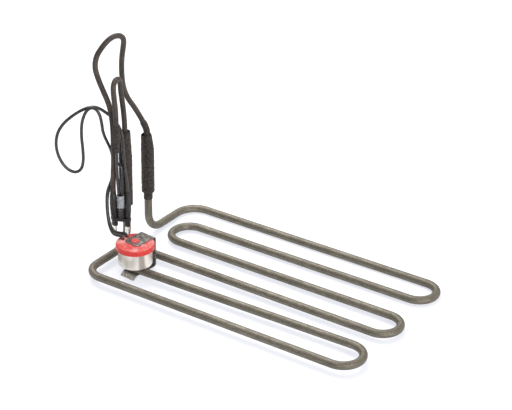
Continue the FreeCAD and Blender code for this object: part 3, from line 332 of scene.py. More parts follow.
ROUTES = {
    "long_lead": [
        (-125.0, 13.2, 93.0), (-125.0, 13.2, 101.0), (-126.9, 11.7, 107.1),
        (-129.0, 9.5, 113.8), (-132.6, 6.1, 123.0), (-136.5, 1.5, 132.5),
        (-137.5, -2.0, 144.0), (-136.5, -4.5, 157.5), (-134.2, -6.6, 170.5),
        (-131.7, -7.6, 180.0), (-129.8, -8.8, 187.2), (-130.6, -11.4, 191.2),
        (-133.8, -15.3, 191.5), (-136.8, -19.4, 188.9), (-139.6, -23.6, 184.0),
        (-143.0, -28.0, 176.0), (-143.0, -30.2, 166.8), (-139.7, -30.0, 157.6),
        (-135.8, -28.7, 147.5), (-132.3, -27.3, 138.5), (-130.0, -26.8, 129.0),
        (-128.8, -26.8, 117.5), (-128.4, -27.1, 102.5), (-128.0, -27.9, 86.0),
        (-127.9, -29.1, 76.0), (-128.2, -29.4, 66.1), (-128.2, -29.4, 51.0),
    ],
    "short_lead": [
        (-125.0, -16.4, 93.0), (-125.0, -16.4, 107.5), (-125.1, -16.4, 121.0),
        (-125.9, -17.0, 134.0), (-127.0, -17.9, 146.5), (-127.1, -18.2, 154.2),
        (-125.9, -21.7, 158.9), (-125.3, -26.6, 159.7), (-124.5, -30.4, 156.1),
        (-124.0, -30.9, 150.0), (-123.5, -30.6, 143.1), (-123.0, -30.1, 134.4),
        (-123.0, -30.0, 124.8), (-123.0, -30.0, 114.0),
    ],
    "jumper_wire": [
        (-123.0, -30.0, 106.6), (-123.0, -30.0, 94.0), (-123.2, -30.0, 79.5),
        (-123.4, -28.9, 69.5), (-123.6, -27.7, 59.5), (-123.6, -27.7, 51.2),
    ],
    "splice_wire": [
        (-107.3, -38.2, 26.0), (-107.3, -38.2, 32.4), (-113.6, -38.4, 31.0),
        (-118.8, -39.0, 30.4), (-123.7, -37.9, 31.3), (-127.2, -36.6, 35.5),
        (-129.7, -35.1, 41.5), (-131.9, -33.0, 47.3), (-134.1, -30.1, 52.5),
        (-135.6, -27.3, 56.4), (-136.1, -24.5, 59.9), (-135.4, -21.9, 64.2),
        (-134.1, -20.5, 70.1), (-131.6, -21.0, 77.6), (-126.8, -23.9, 85.4),
        (-122.5, -25.9, 86.1), (-121.2, -26.2, 79.3), (-121.1, -26.1, 69.3),
        (-121.4, -26.3, 58.0), (-121.4, -26.3, 51.2),
    ],
    "looped_wire": [
        (-107.7, -43.3, 26.0), (-107.7, -43.3, 32.4), (-113.7, -44.0, 31.4),
        (-118.1, -43.8, 31.8), (-122.6, -41.7, 35.4), (-125.5, -40.0, 40.7),
        (-127.7, -38.4, 48.6), (-129.3, -36.5, 56.5), (-130.7, -33.9, 61.7),
        (-132.2, -29.8, 64.5), (-132.5, -26.0, 68.2), (-131.8, -24.6, 75.1),
        (-131.6, -24.4, 84.2), (-131.9, -24.6, 91.8), (-132.8, -25.9, 97.8),
        (-133.1, -29.0, 104.1), (-132.6, -33.0, 110.9), (-132.0, -36.0, 117.4),
        (-131.6, -37.1, 123.5), (-133.2, -37.3, 131.5), (-136.6, -38.6, 136.7),
        (-140.9, -40.6, 136.6), (-144.5, -42.4, 131.8), (-147.0, -43.8, 123.0),
        (-147.6, -44.0, 111.5), (-147.1, -43.3, 100.5), (-146.9, -43.1, 89.4),
        (-148.9, -43.9, 80.7), (-153.7, -46.8, 77.8), (-159.8, -50.7, 82.0),
        (-164.5, -53.5, 91.8), (-166.0, -54.5, 103.0), (-164.8, -53.3, 113.0),
        (-161.0, -50.0, 121.0), (-155.2, -45.6, 127.6), (-148.5, -40.5, 133.1),
        (-143.0, -35.5, 135.4), (-139.8, -30.4, 133.2), (-136.5, -25.8, 128.5),
        (-132.8, -22.7, 124.0), (-127.3, -22.5, 119.4), (-122.6, -23.4, 113.4),
        (-121.4, -23.5, 103.0), (-121.2, -23.4, 92.0), (-119.9, -23.5, 79.5),
        (-117.1, -23.9, 66.0), (-117.1, -23.9, 51.0),
    ],
}
LEAD, WIRE = 4.5, 2.6
# Each cord's diameter, length, far end, and the other nodes that go with it
CORDS = {
    "long_lead": (LEAD, 259.1, "connector", ["long_lead_boot", "long_lead_tab"]),
    "short_lead": (LEAD, 118.7, "fitting", ["splice_sleeve", "splice_barrel"]),
    "jumper_wire": (WIRE, 55.5, "fitting", ["joint_cap", "joint_barrel"]),
    "splice_wire": (WIRE, 122.5, "fitting", ["joint_cap"]),
    "looped_wire": (
        WIRE, 374.2, "connector", ["switch_wire_boot", "switch_wire_tab", "cable_tie"],
    ),
}


def stand_in(thing, node):
    """Put an object in the place of a node's solid."""
    bpy.context.collection.objects.link(thing)
    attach(thing, "root")
    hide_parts(node)


def cord_piece(node):
    """The smooth spline that stands for a cord's solid."""
    width = CORDS[node][0]
    slot = "lead_brown" if width == LEAD else "wire_black"
    data = bpy.data.curves.new(node + "_cord", "CURVE")
    data.dimensions = "3D"
    data.resolution_u = 10
    data.bevel_depth = width / 2 * MM
    data.bevel_resolution = 5
    data.use_fill_caps = True
    spline = data.splines.new("NURBS")
    points = ROUTES[node]
    spline.points.add(len(points) - 1)
    for point, place in zip(spline.points, points):
        point.co = (*metres(place), 1.0)
    spline.order_u = 3
    spline.use_endpoint_u = True
    data.materials.append(FINISHES[slot].material)
    stand_in(bpy.data.objects.new(node + "_cord", data), node)


# Sheath: each flat bend's centre and radius, from the back, and the two risers

BENDS = [
    (111.2, 58.2, 14.8), (-92.7, 27.8, 15.3), (112.4, -2.4, 14.9), (-99.0, -30.5, 14.6),
    (110.1, -57.1, 15.9),
]
RISER_X, BACK_Y, FRONT_Y, RISER_TOP = -125.0, 13.2, -16.4, 80.0
RISER_TURN, BACK_CORNER, FRONT_CORNER, LEG_Z = 16.5, 18.2, 16.0, 7.0
SHEATH, SHEATH_WALL, SHEATH_SIDES = 6.6, 0.5, 40
ARC_STEP, LONGEST_STEP, SHORTEST_STEP = 5.0, 6.0, 0.01


def arc(centre, radius, start, end, standing=False):
    """Close points along an arc, flat or standing in the plane of the risers."""
    centre = Vector(centre)
    steps = max(2, math.ceil(abs(end - start) / ARC_STEP))
    points = []
    for step in range(steps + 1):
        angle = math.radians(start + (end - start) * step / steps)
        across, ahead = radius * math.cos(angle), radius * math.sin(angle)
        offset = (0.0, across, ahead) if standing else (across, ahead, 0.0)
        points.append(centre + Vector(offset))
    return points


def sheath_stops():
    """The sheath's centreline from its back end, round every bend, to its front end."""
    chain = [(Vector((x, y, LEG_Z)), radius) for x, y, radius in BENDS]
    leaves = []
    for number, ((one, first), (two, second)) in enumerate(zip(chain, chain[1:])):
        gap = two - one
        reach = math.degrees(math.acos((first + second) / gap.length))
        side = reach if number % 2 == 0 else -reach
        leaves.append(math.degrees(math.atan2(gap.y, gap.x)) + side)
    leaves.append(-90.0)
    riser_z = LEG_Z + RISER_TURN
    stops = [Vector((RISER_X, BACK_Y, RISER_TOP))]
    stops += reversed(
        arc((RISER_X, BACK_Y + RISER_TURN, riser_z), RISER_TURN, 270, 180, standing=True)
    )
    corner_y = BENDS[0][1] + BENDS[0][2] - BACK_CORNER
    stops += arc((RISER_X + BACK_CORNER, corner_y, LEG_Z), BACK_CORNER, 180, 90)
    arrival = 90.0
    for number, ((centre, radius), leave) in enumerate(zip(chain, leaves)):
        turn = (leave - arrival) % 360.0
        leave = arrival + (turn if number % 2 else turn - 360.0)
        stops += arc(centre, radius, arrival, leave)
        arrival = leave + 180.0
    corner_y = BENDS[-1][1] - BENDS[-1][2] + FRONT_CORNER
    stops += arc((RISER_X + FRONT_CORNER, corner_y, LEG_Z), FRONT_CORNER, 270, 180)
    stops += arc((RISER_X, FRONT_Y - RISER_TURN, riser_z), RISER_TURN, 270, 360, standing=True)
    stops.append(Vector((RISER_X, FRONT_Y, RISER_TOP)))
    filled = [stops[0]]
    for stop in stops[1:]:
        start = filled[-1]
        gap = stop - start
        if gap.length < SHORTEST_STEP:
            continue
        count = math.ceil(gap.length / LONGEST_STEP)
        filled += [start + gap * (step / count) for step in range(1, count)] + [stop]
    return filled


def piece(node, mesh, slot, sharp=40.0):
    """Put a finished mesh in the place of a node's solid."""
    shape = bmesh.new()
    shape.from_mesh(mesh)
    bmesh.ops.recalc_face_normals(shape, faces=shape.faces)
    for face in shape.faces:
        face.smooth = True
    shape.to_mesh(mesh)
    shape.free()
    mesh.set_sharp_from_angle(angle=math.radians(sharp))
    mesh.materials.clear()
    mesh.materials.append(FINISHES[slot].material)
    stand_in(bpy.data.objects.new(node + "_shape", mesh), node)


def sheath_piece():
    """The drawn tube, swept by a geometry tree along its path and closed at both rims."""
    data = bpy.data.curves.new("sheath_path", "CURVE")
    data.dimensions = "3D"
    spline = data.splines.new("POLY")
    stops = sheath_stops()
    spline.points.add(len(stops) - 1)
    for point, stop in zip(spline.points, stops):
        point.co = (*metres(stop), 1.0)
    path = bpy.data.objects.new("sheath_path", data)
    bpy.context.collection.objects.link(path)
    tree = Shaper("drawn_tube")
    radius = tree.size("Outside diameter", SHEATH * MM) * 0.5
    wall = tree.size("Wall", SHEATH_WALL * MM)
    sides = tree.size("Sides", SHEATH_SIDES, "NodeSocketInt")
    along = tree.node("GeometryNodeSplineParameter", output="Length")
    course = tree.mark(tree.base(), "along", along)
    skins = []
    for reach, inward in ((radius, False), (radius - wall, True)):
        circle = tree.node(
            "GeometryNodeCurvePrimitiveCircle", {"mode": "RADIUS"},
            {"Resolution": sides, "Radius": reach},
        )
        angle = tree.node("GeometryNodeSplineParameter", output="Factor") * math.tau
        circle = tree.mark(circle, "side", angle.math("COSINE", angle))
        circle = tree.mark(circle, "top", angle.math("SINE", angle))
        skin = tree.node(
            "GeometryNodeCurveToMesh", None, {"Curve": course, "Profile Curve": circle},
        )
        if inward:
            skin = tree.node("GeometryNodeFlipFaces", None, {"Mesh": skin})
        skins.append(skin)
    tube = tree.node("GeometryNodeJoinGeometry", None, {"Geometry": skins})
    mesh = tree.made(path, tube, FINISHES["sheath"])
    shape = bmesh.new()
    shape.from_mesh(mesh)
    rims = [edge for edge in shape.edges if edge.is_boundary]
    for back in (True, False):
        rim = [edge for edge in rims if (edge.verts[0].co.y > 0.0) is back]
        bmesh.ops.bridge_loops(shape, edges=rim)
    shape.to_mesh(mesh)
    shape.free()
    piece("sheath_tube", mesh, "sheath")


# Rings of points, and the skins made of them

RING_SIDES = 48


def smooth_course(points, steps):
    """Points along the smooth line that a cord follows past its first corners."""
    middles = [(one + two) / 2 for one, two in zip(points[1:-2], points[2:-1])]
    middles = [points[0]] + middles + [points[-1]]
    line = [points[0]]
    for start, corner, end in zip(middles, points[1:], middles[1:]):
        for step in range(1, steps + 1):
            share = step / steps
            line.append(start.lerp(corner, share).lerp(corner.lerp(end, share), share))
    return line


def girth(centre, along, wide, deep, facing, count=RING_SIDES):
    """A ring of points round a centre: an oval square to a direction."""
    turn = math.radians(facing)
    along = along.normalized()
    first = Vector((math.cos(turn), math.sin(turn), 0.0))
    first = (first - along * first.dot(along)).normalized()
    second = along.cross(first)
    ring = []
    for number in range(count):
        angle = math.tau * number / count
        across, ahead = wide * math.cos(angle), deep * math.sin(angle)
        ring.append(centre + first * across + second * ahead)
    return ring


def mesh_of(name, rings, hollow):
    """A closed mesh through rings of points in millimetres."""
    count = len(rings[0])
    points = [point * MM for ring in rings for point in ring]
    faces = []
    last = len(rings) if hollow else len(rings) - 1
    for row in range(last):
        low, high = row * count, (row + 1) % len(rings) * count
        for one in range(count):
            two = (one + 1) % count
            faces.append((low + one, low + two, high + two, high + one))
    if not hollow:
        faces.append(tuple(reversed(range(count))))
        faces.append(tuple(range(len(points) - count, len(points))))
    mesh = bpy.data.meshes.new(name)
    mesh.from_pydata(points, [], faces)
    return mesh


def rough(point, scale, seed):
    """A repeatable number between 0 and 1 that changes smoothly from place to place."""
    shifted = Vector(point) * scale + Vector((seed * 7.3, seed * 3.1, seed * 5.7))
    return min(1.0, max(0.0, noise.noise(shifted) * 0.8 + 0.5))


def skin_rings(line, radii, inner, seed, dent, rag, count=56):
    """Rings up a shrunk sleeve's uneven outside and down its inside, with torn rims."""
    rings = []
    total = len(line) - 1
    for side in (radii, inner):
        outside = side is radii
        for row in range(total + 1) if outside else range(total, -1, -1):
            centre = line[row]
            ahead = line[min(row + 1, total)] - line[max(row - 1, 0)]
            shaped = []
            for point in girth(centre, ahead, side[row], side[row], 0.0, count):
                moved = point.copy()
                if outside:
                    out = (point - centre).normalized()
                    uneven = 0.7 * rough(point, 0.45, seed) + 0.3 * rough(point, 1.6, seed + 4)
                    moved -= out * (dent * uneven)
                if row in (0, total):
                    tear = rag * rough((point.x, point.y, 0.0), 0.5, seed + 9)
                    moved += ahead.normalized() * (tear if row == 0 else -tear)
                shaped.append(moved)
            rings.append(shaped)
    return rings


def upright(x, y, low, high, step=1.2):
    """Centres up a straight standing line, close enough for an uneven skin."""
    count = max(2, math.ceil((high - low) / step))
    return [Vector((x, y, low + (high - low) * number / count)) for number in range(count + 1)]


def between(height, table):
    """The value at a height in a table of (height, value), straight between its rows."""
    for (low, first), (high, second) in zip(table, table[1:]):
        if height <= high:
            share = max(0.0, (height - low) / (high - low))
            return first + (second - first) * share
    return table[-1][1]


def read_off(line, table):
    """A table's value at the height of every point of a line."""
    return [between(point.z, table) for point in line]


# Sleeves: two on each riser, and the splice's

# Outside radii: round the sheath, shrunk on a lead, of the outer sleeve and of its mouth
INNER_RADIUS, LEAD_RADIUS, OUTER_RADIUS, MOUTH_RADIUS = 3.9, 2.9, 5.7, 4.6
# Between these heights an inner sleeve's bore narrows from the sheath to the lead
BORE_LOW, BORE_HIGH = 82.5, 89.0
# How high the back inner sleeve follows its lead, which pulls the outer one's mouth left
BACK_INNER_END, MOUTH_LEAN = 110.4, 0.9
SPLICE = (-123.0, -30.0)
SPLICE_FOOT, SPLICE_TOP = 97.6, 122.1


def riser_sleeves(side, y, low, foot, top, taper, seed):
    """An inner sleeve from the sheath on to the lead, and a thick outer one over it."""
    line = upright(RISER_X, y, low, top)
    if side == "back":
        route = [Vector(point) for point in ROUTES["long_lead"][:6]]
        course = smooth_course(route, steps=6)
        line += [point for point in course if top + 0.6 < point.z < BACK_INNER_END]
    outer = read_off(line, [(low, INNER_RADIUS), (top - 4.0, INNER_RADIUS), (top, LEAD_RADIUS)])
    inner = read_off(line, [(low, SHEATH / 2), (BORE_LOW, SHEATH / 2), (BORE_HIGH, LEAD / 2)])
    rings = skin_rings(line, outer, inner, seed, dent=0.22, rag=0.8)
    name = side + "_inner_sleeve"
    piece(name, mesh_of(name, rings, hollow=True), "sleeve_black")
    line = upright(RISER_X, y, foot, top)
    outer = read_off(line, [
        (foot, 5.4), (foot + 0.7, OUTER_RADIUS), (taper, OUTER_RADIUS), (top, MOUTH_RADIUS),
    ])
    inner = [INNER_RADIUS] * len(line)
    if side == "back":
        pull = [(taper, 0.0), (top, MOUTH_LEAN)]
        line = [point - RIGHT * between(point.z, pull) for point in line]
    rings = skin_rings(line, outer, inner, seed + 4, dent=0.4, rag=1.3)
    name = side + "_outer_sleeve"
    piece(name, mesh_of(name, rings, hollow=True), "sleeve_black")


def splice_sleeve():
    """The sleeve that narrows from the lead to the thin wire."""
    line = upright(*SPLICE, SPLICE_FOOT, SPLICE_TOP, step=0.8)
    outer = read_off(line, [(SPLICE_FOOT, 1.95), (103.9, 1.95), (114.0, LEAD_RADIUS)])
    inner = read_off(line, [(SPLICE_FOOT, WIRE / 2), (105.0, WIRE / 2), (114.0, LEAD / 2)])
    rings = skin_rings(line, outer, inner, seed=3, dent=0.18, rag=0.8, count=40)
    piece("splice_sleeve", mesh_of("splice_sleeve", rings, hollow=True), "sleeve_black")


# Boots: place, turn, how far the foot is pulled sideways, the neck's outside and bore, the
# body's depth, and how the body narrows to the neck, as heights and shares of what it loses

BOOTS = {
    "long_lead": (
        -128.2, -29.44, 150.4, 0.9, 2.6, LEAD / 2, 3.0,
        [(55.4, 1.0), (57.8, 0.6), (59.2, 0.05), (59.8, 0.0)],
    ),
    "switch_wire": (
        -117.1, -23.92, 153.4, -1.5, 1.65, WIRE / 2, 2.45,
        [(45.4, 1.0), (49.5, 0.5), (56.6, 0.05), (57.6, 0.0)],
    ),
}
BOOT_FOOT, BOOT_TOP, BOOT_WIDTH = 31.0, 61.5, 3.4
TIE_HEIGHT, TIED_WIDTH, TIED_DEPTH = 37.0, 3.35, 2.2
# The tie's head, and how far left of the bundle's middle and behind it that stands
HEAD_SIDE, HEAD_DEPTH, HEAD_LEFT, HEAD_BEHIND = 4.4, 3.0, 4.6, 4.9
JOINT_X, JOINT_Y, JOINT_TURN = -122.5, -27.0, 33.4
JOINT_WIDTH, JOINT_DEPTH = 3.1, 2.85


def lean(height, amount):
    """How far a boot and its tab are pulled sideways below the crimp."""
    return RIGHT * (amount * between(height, [(20.0, 1.0), (34.0, 0.75), (50.0, 0.0)]))


def boot_piece(name):
    """A soft boot: flared mouth, squeezed under the tie, narrowing to the wire it grips."""
    x, y, facing, amount, neck, bore, depth, shoulder = BOOTS[name]
    lip = [(60.2, neck - 0.1), (BOOT_TOP, neck)]
    wide = [
        (BOOT_FOOT, 3.65), (32.2, 3.65), (34.6, 3.58), (TIE_HEIGHT, TIED_WIDTH), (40.2, 3.5),
        *((height, neck + (BOOT_WIDTH - neck) * share) for height, share in shoulder), *lip,
    ]
    deep = [
        (BOOT_FOOT, 2.65), (32.2, 2.6), (33.8, 2.35), (TIE_HEIGHT, TIED_DEPTH), (40.2, depth),
        *((height, neck + (depth - neck) * share) for height, share in shoulder), *lip,
    ]
    hollow_wide = [(BOOT_FOOT, 3.32), (35.2, 3.28), (37.2, 3.0), (45.0, 2.55), (48.0, bore)]
    hollow_deep = [(BOOT_FOOT, 1.95), (45.0, 1.8), (48.0, bore)]
    line = upright(x, y, BOOT_FOOT, BOOT_TOP, step=0.6)
    rings = []
    for widths, depths, order in ((wide, deep, line), (hollow_wide, hollow_deep, line[::-1])):
        for centre in order:
            height = centre.z
            middle = centre + lean(height, amount)
            ring = girth(middle, UP, between(height, widths), between(height, depths), facing)
            if order is line:
                ring = [
                    point + (middle - point).normalized() * (0.16 * rough(point, 0.5, bore))
                    for point in ring
                ]
            rings.append(ring)
    piece(name + "_boot", mesh_of(name + "_boot", rings, hollow=True), "boot_black")


def copied(node):
    """A merged copy of a solid's mesh."""
    shape = bmesh.new()
    shape.from_mesh(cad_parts[node].data)
    bmesh.ops.remove_doubles(shape, verts=shape.verts, dist=0.002 * MM)
    bmesh.ops.dissolve_limit(
        shape, angle_limit=math.radians(1.0), verts=shape.verts, edges=shape.edges,
    )
    return shape


def finished(shape, node, slot):
    """Turn an edited copy into the node's piece."""
    mesh = bpy.data.meshes.new(node)
    shape.to_mesh(mesh)
    shape.free()
    piece(node, mesh, slot, sharp=35.0)


def tab_piece(name):
    """The blade, pulled sideways with its boot."""
    shape = copied(name + "_tab")
    bmesh.ops.triangulate(shape, faces=shape.faces)
    for vertex in shape.verts:
        vertex.co += lean(vertex.co.z / MM, BOOTS[name][3]) * MM
    finished(shape, name + "_tab", "tab_tin")


def joint_cap_piece():
    """The closed joint cap: round above, pinched flat below by the crimp, an uneven rim."""
    foot, top = 35.5, 59.0
    upper = [(46.8, 2.75), (48.4, 3.05), (50.0, 3.1), (57.8, 3.05), (top, 3.1)]
    wide = [
        (foot, 2.0), (36.3, 2.9), (38.0, JOINT_WIDTH), (43.0, JOINT_WIDTH), (45.4, 2.95), *upper,
    ]
    deep = [
        (foot, 1.6), (36.3, 2.5), (38.0, JOINT_DEPTH), (43.0, 2.9), (45.4, 2.85), *upper,
    ]
    rings = []
    for centre in upright(JOINT_X, JOINT_Y, foot, top, step=0.45):
        height = centre.z
        widths = between(height, wide), between(height, deep)
        shaped = []
        for point in girth(centre, UP, *widths, JOINT_TURN):
            sink = 0.18 * rough(point, 0.35, 6) if height > 36.0 else 0.0
            tear = 0.5 * rough((point.x, point.y, 0.0), 0.9, 8) if height > 58.9 else 0.0
            shaped.append(point + (centre - point).normalized() * sink - UP * tear)
        rings.append(shaped)
    for height, reach in ((58.4, 2.62), (50.0, 2.62), (46.8, 2.45), (43.0, 2.45), (37.7, 2.45)):
        rings.append(girth(Vector((JOINT_X, JOINT_Y, height)), UP, reach, reach, JOINT_TURN))
    mesh = mesh_of("joint_cap", rings, hollow=False)
    piece("joint_cap", mesh, "joint_cap_nylon", sharp=50.0)


def outline(points):
    """The convex outline of flat points, anticlockwise."""
    ordered = sorted((point.x, point.y) for point in points)
    loop = []
    for row in (ordered, ordered[::-1]):
        side = []
        for x, y in row:
            while len(side) > 1:
                (x0, y0), (x1, y1) = side[-2:]
                if (x1 - x0) * (y - y0) > (y1 - y0) * (x - x0):
                    break
                side.pop()
            side.append((x, y))
        loop += side[:-1]
    return loop


def tie_piece():
    """A narrow band drawn tight round the boots and the joint cap, its head behind."""
    centre = Vector((JOINT_X, JOINT_Y, TIE_HEIGHT))
    held = girth(centre, UP, JOINT_WIDTH, JOINT_DEPTH, JOINT_TURN)
    for x, y, facing, amount, *_ in BOOTS.values():
        centre = Vector((x, y, TIE_HEIGHT)) + lean(TIE_HEIGHT, amount)
        held += girth(centre, UP, TIED_WIDTH, TIED_DEPTH, facing)
    loop = outline(held)
    across, ahead = (sum(row) / len(loop) for row in zip(*loop))
    section = [(0.02, -1.3), (0.02, 1.3), (0.45, 1.3), (0.66, 1.1), (0.66, -1.1), (0.45, -1.3)]
    rings = []
    for number, (x, y) in enumerate(loop):
        before, after = loop[number - 1], loop[(number + 1) % len(loop)]
        out = Vector((after[1] - before[1], before[0] - after[0], 0.0)).normalized()
        rings.append([Vector((x, y, TIE_HEIGHT + rise)) + out * reach for reach, rise in section])
    shape = bmesh.new()
    shape.from_mesh(mesh_of("cable_tie", rings, hollow=True))
    head = bmesh.ops.create_cube(shape, size=1.0)["verts"]
    edges = list({edge for vertex in head for edge in vertex.link_edges})
    spot = Vector((across, ahead, TIE_HEIGHT)) - RIGHT * HEAD_LEFT + AWAY * HEAD_BEHIND
    for vertex in head:
        offset = RIGHT * (HEAD_SIDE * vertex.co.x) + AWAY * (HEAD_DEPTH * vertex.co.y)
        vertex.co = (spot + (offset + UP * (HEAD_SIDE * vertex.co.z))) * MM
    bmesh.ops.bevel(shape, geom=edges, offset=0.4 * MM, segments=3, profile=0.5, affect="EDGES")
    finished(shape, "cable_tie", "tie_nylon")


def clip_piece():
    """The spring clip with its cut edges eased."""
    shape = copied("strap_clip")
    edges = [
        edge for edge in shape.edges
        if len(edge.link_faces) == 2 and edge.calc_face_angle() > math.radians(60.0)
    ]
    bmesh.ops.bevel(
        shape, geom=edges, offset=0.12 * MM, segments=2, profile=0.6, affect="EDGES",
        clamp_overlap=True,
    )
    finished(shape, "strap_clip", "spring_steel")


# Finishes

def sheath_finish():
    """Oxidised drawn tube: olive grey-brown, dull, with faint streaks that follow its bends."""
    finish = Finish("sheath", Metallic=0.8)
    where = finish.place()
    drawn = finish.node("ShaderNodeCombineXYZ", None, [
        finish.kept("along") * 45.0, finish.kept("side"), finish.kept("top"),
    ])
    streak = finish.noise(drawn, 3.4, 4.0, 0.65)
    cloud = finish.noise(where, 0.035, 4.0, 0.6).above(0.35, 0.68)
    fine = finish.noise(where, 0.8, 4.0, 0.8)
    colour = finish.blend(cloud, (0.178, 0.160, 0.123), (0.242, 0.220, 0.176))
    colour = finish.blend(streak.above(0.42, 0.62) * 0.75, colour, (0.120, 0.106, 0.082))
    colour = finish.blend(fine.above(0.42, 0.70) * 0.5, colour, (0.35, 0.328, 0.279))
    finish.set("Base Color", colour)
    finish.set("Roughness", 0.44 + streak * 0.12 + fine * 0.1)
    finish.relief(fine + streak * 0.6, 0.07)
    return finish


def sleeve_finish():
    """Shrunk brown-black sleeve: dull, with coarse grain and fine fibres along its length."""
    finish = Finish("sleeve_black", Specular_IOR_Level=0.35)
    fibre = finish.noise(finish.place(scale=(1.0, 1.0, 0.15)), 1.6, 3.0, 0.6)
    grain = finish.noise(finish.place(), 0.80, 4.0, 0.85)
    colour = finish.blend(fibre.above(0.35, 0.7), (0.007, 0.005, 0.004), (0.020, 0.015, 0.012))
    finish.set("Base Color", finish.blend(grain.above(0.44, 0.70), colour, (0.132, 0.108, 0.092)))
    finish.set("Roughness", 0.46 + grain * 0.22)
    finish.relief(fibre * 0.5 + grain, 0.30)
    return finish


def lead_finish():
    """Silicone lead: brown-grey, softly shining, a little dusty."""
    finish = Finish("lead_brown")
    where = finish.place()
    dust = finish.noise(where, 0.06, 3.0, 0.6)
    grain = finish.noise(where, 0.95, 4.0, 0.85)
    colour = finish.blend(dust.above(0.36, 0.66), (0.017, 0.012, 0.009), (0.066, 0.050, 0.038))
    finish.set("Base Color", finish.blend(grain.above(0.44, 0.78), colour, (0.160, 0.126, 0.100)))
    finish.set("Roughness", 0.40 + grain * 0.22)
    finish.relief(grain, 0.22)
    return finish


def wire_finish():
    """Thin shiny black insulation, scuffed in spots."""
    finish = Finish("wire_black", Coat_Weight=0.35, Coat_Roughness=0.14)
    scuff = finish.noise(finish.place(), 0.6, 4.0, 0.75)
    colour = finish.blend(scuff.above(0.48, 0.68), (0.010, 0.008, 0.006), (0.078, 0.066, 0.056))
    finish.set("Base Color", colour)
    finish.set("Roughness", 0.22 + scuff * 0.2)
    finish.relief(scuff, 0.16)
    return finish


def boot_finish():
    """Soft vinyl boot: near black with a dull shine."""
    finish = Finish("boot_black", Coat_Weight=0.2, Coat_Roughness=0.3)
    grain = finish.noise(finish.place(), 0.8, 4.0, 0.75)
    colour = finish.blend(grain.above(0.5, 0.7), (0.010, 0.008, 0.008), (0.060, 0.052, 0.048))
    finish.set("Base Color", colour)
    finish.set("Roughness", 0.34 + grain * 0.18)
    finish.relief(grain, 0.15)
    return finish


def tie_finish():
    """Moulded black nylon."""
    finish = Finish("tie_nylon")
    grain = finish.noise(finish.place(), 3.0, 2.0, 0.5)
    finish.set("Base Color", finish.blend(grain, (0.020, 0.020, 0.020), (0.038, 0.036, 0.036)))
    finish.set("Roughness", 0.38 + grain * 0.12)
    finish.relief(grain, 0.03)
    return finish


def tin_finish():
    """Bright tin-plated blade with fine rolling marks."""
    finish = Finish("tab_tin", Metallic=1.0)
    mark = finish.noise(finish.place(scale=(1.0, 1.0, 0.1)), 3.0, 3.0, 0.6)
    stain = finish.noise(finish.place(), 0.35, 3.0, 0.6)
    colour = finish.blend(stain.above(0.45, 0.75), (0.80, 0.77, 0.71), (0.55, 0.50, 0.43))
    finish.set("Base Color", colour)
    finish.set("Roughness", 0.20 + mark * 0.18)
    finish.relief(mark, 0.02)
    return finish


def cup_finish():
    """Drawn aluminium: bright and warm, with soft upright bands that are partly drawing marks and
    partly painted reflection, and one painted dark reflection band.
    """
    finish = Finish("cup_aluminium", Metallic=0.5)
    where = finish.place(scale=(1.0, 1.0, 0.05), shift=(-96.9, -41.6, 0.0))
    # A painted dark reflection: one upright band, placed by how far each point lies to the
    # camera's right
    across = finish.axis(where, "X") * RIGHT.x + finish.axis(where, "Y") * RIGHT.y
    shade = across.above(2.6, 5.2) - across.above(6.8, 9.2)
    band = finish.noise(where, 0.16, 2.0, 0.5)
    draw = finish.noise(where, 2.6, 3.0, 0.6)
    spot = finish.noise(finish.place(), 0.9, 4.0, 0.75)
    # The darkening mask: soft bands (drawing marks and painted reflection) plus the painted dark
    # reflection band
    dull = (band.above(0.46, 0.72) * 0.35 + shade * 0.8).held()
    colour = finish.blend(dull, (0.98, 0.93, 0.865), (0.36, 0.325, 0.28))
    colour = finish.blend(spot.above(0.56, 0.72) * 0.5, colour, (0.42, 0.37, 0.31))
    finish.set("Base Color", colour)
    finish.set("Roughness", 0.22 + draw * 0.16)
    finish.relief(draw, 0.02)
    return finish


def cap_finish():
    """Glossy red moulding, its top face paler in specks that are partly a painted sheen."""
    finish = Finish("cap_red", Coat_Weight=0.15, Coat_Roughness=0.25)
    where = finish.place()
    mottle = finish.noise(where, 0.7, 4.0, 0.7)
    patch = finish.noise(where, 0.11, 2.0, 0.5)
    speck = finish.noise(where, 1.0, 4.0, 0.85)
    colour = finish.blend(mottle.above(0.35, 0.7), (0.74, 0.030, 0.030), (0.88, 0.070, 0.062))
    # Pale specks with a painted sheen, on the top face only
    top = finish.axis(where, "Z").above(28.3, 29.3)
    specks_and_painted_sheen = (speck + patch * 0.5).above(0.67, 0.90) * top
    finish.set("Base Color", finish.blend(specks_and_painted_sheen, colour, (0.93, 0.50, 0.46)))
    finish.set("Roughness", 0.36 + mottle * 0.14 + specks_and_painted_sheen * 0.15)
    finish.relief(mottle, 0.10)
    return finish


def spring_finish():
    """Rolled spring steel: blotched dark grey, with a bright speckled lip under the leg."""
    finish = Finish("spring_steel", Metallic=0.7)
    where = finish.place()
    rolled = finish.place(scale=(1.0, 0.15, 0.15), turn=math.radians(5.5))
    brush = finish.noise(rolled, 1.6, 3.0, 0.6)
    stain = finish.noise(where, 0.42, 4.0, 0.75)
    speck = finish.noise(where, 0.95, 3.0, 0.85)
    colour = finish.blend(stain.above(0.42, 0.62), (0.300, 0.285, 0.265), (0.105, 0.092, 0.082))
    colour = finish.blend(speck.above(0.56, 0.68) * 0.7, colour, (0.60, 0.57, 0.53))
    lip = 1.0 - finish.axis(where, "Z").above(2.4, 3.6)
    bright = finish.blend(speck.above(0.42, 0.58), (0.16, 0.145, 0.13), (0.92, 0.88, 0.80))
    finish.set("Base Color", finish.blend(lip, colour, bright))
    finish.set("Roughness", 0.38 + brush * 0.2)
    finish.relief(brush * 0.5 + stain, 0.25)
    return finish


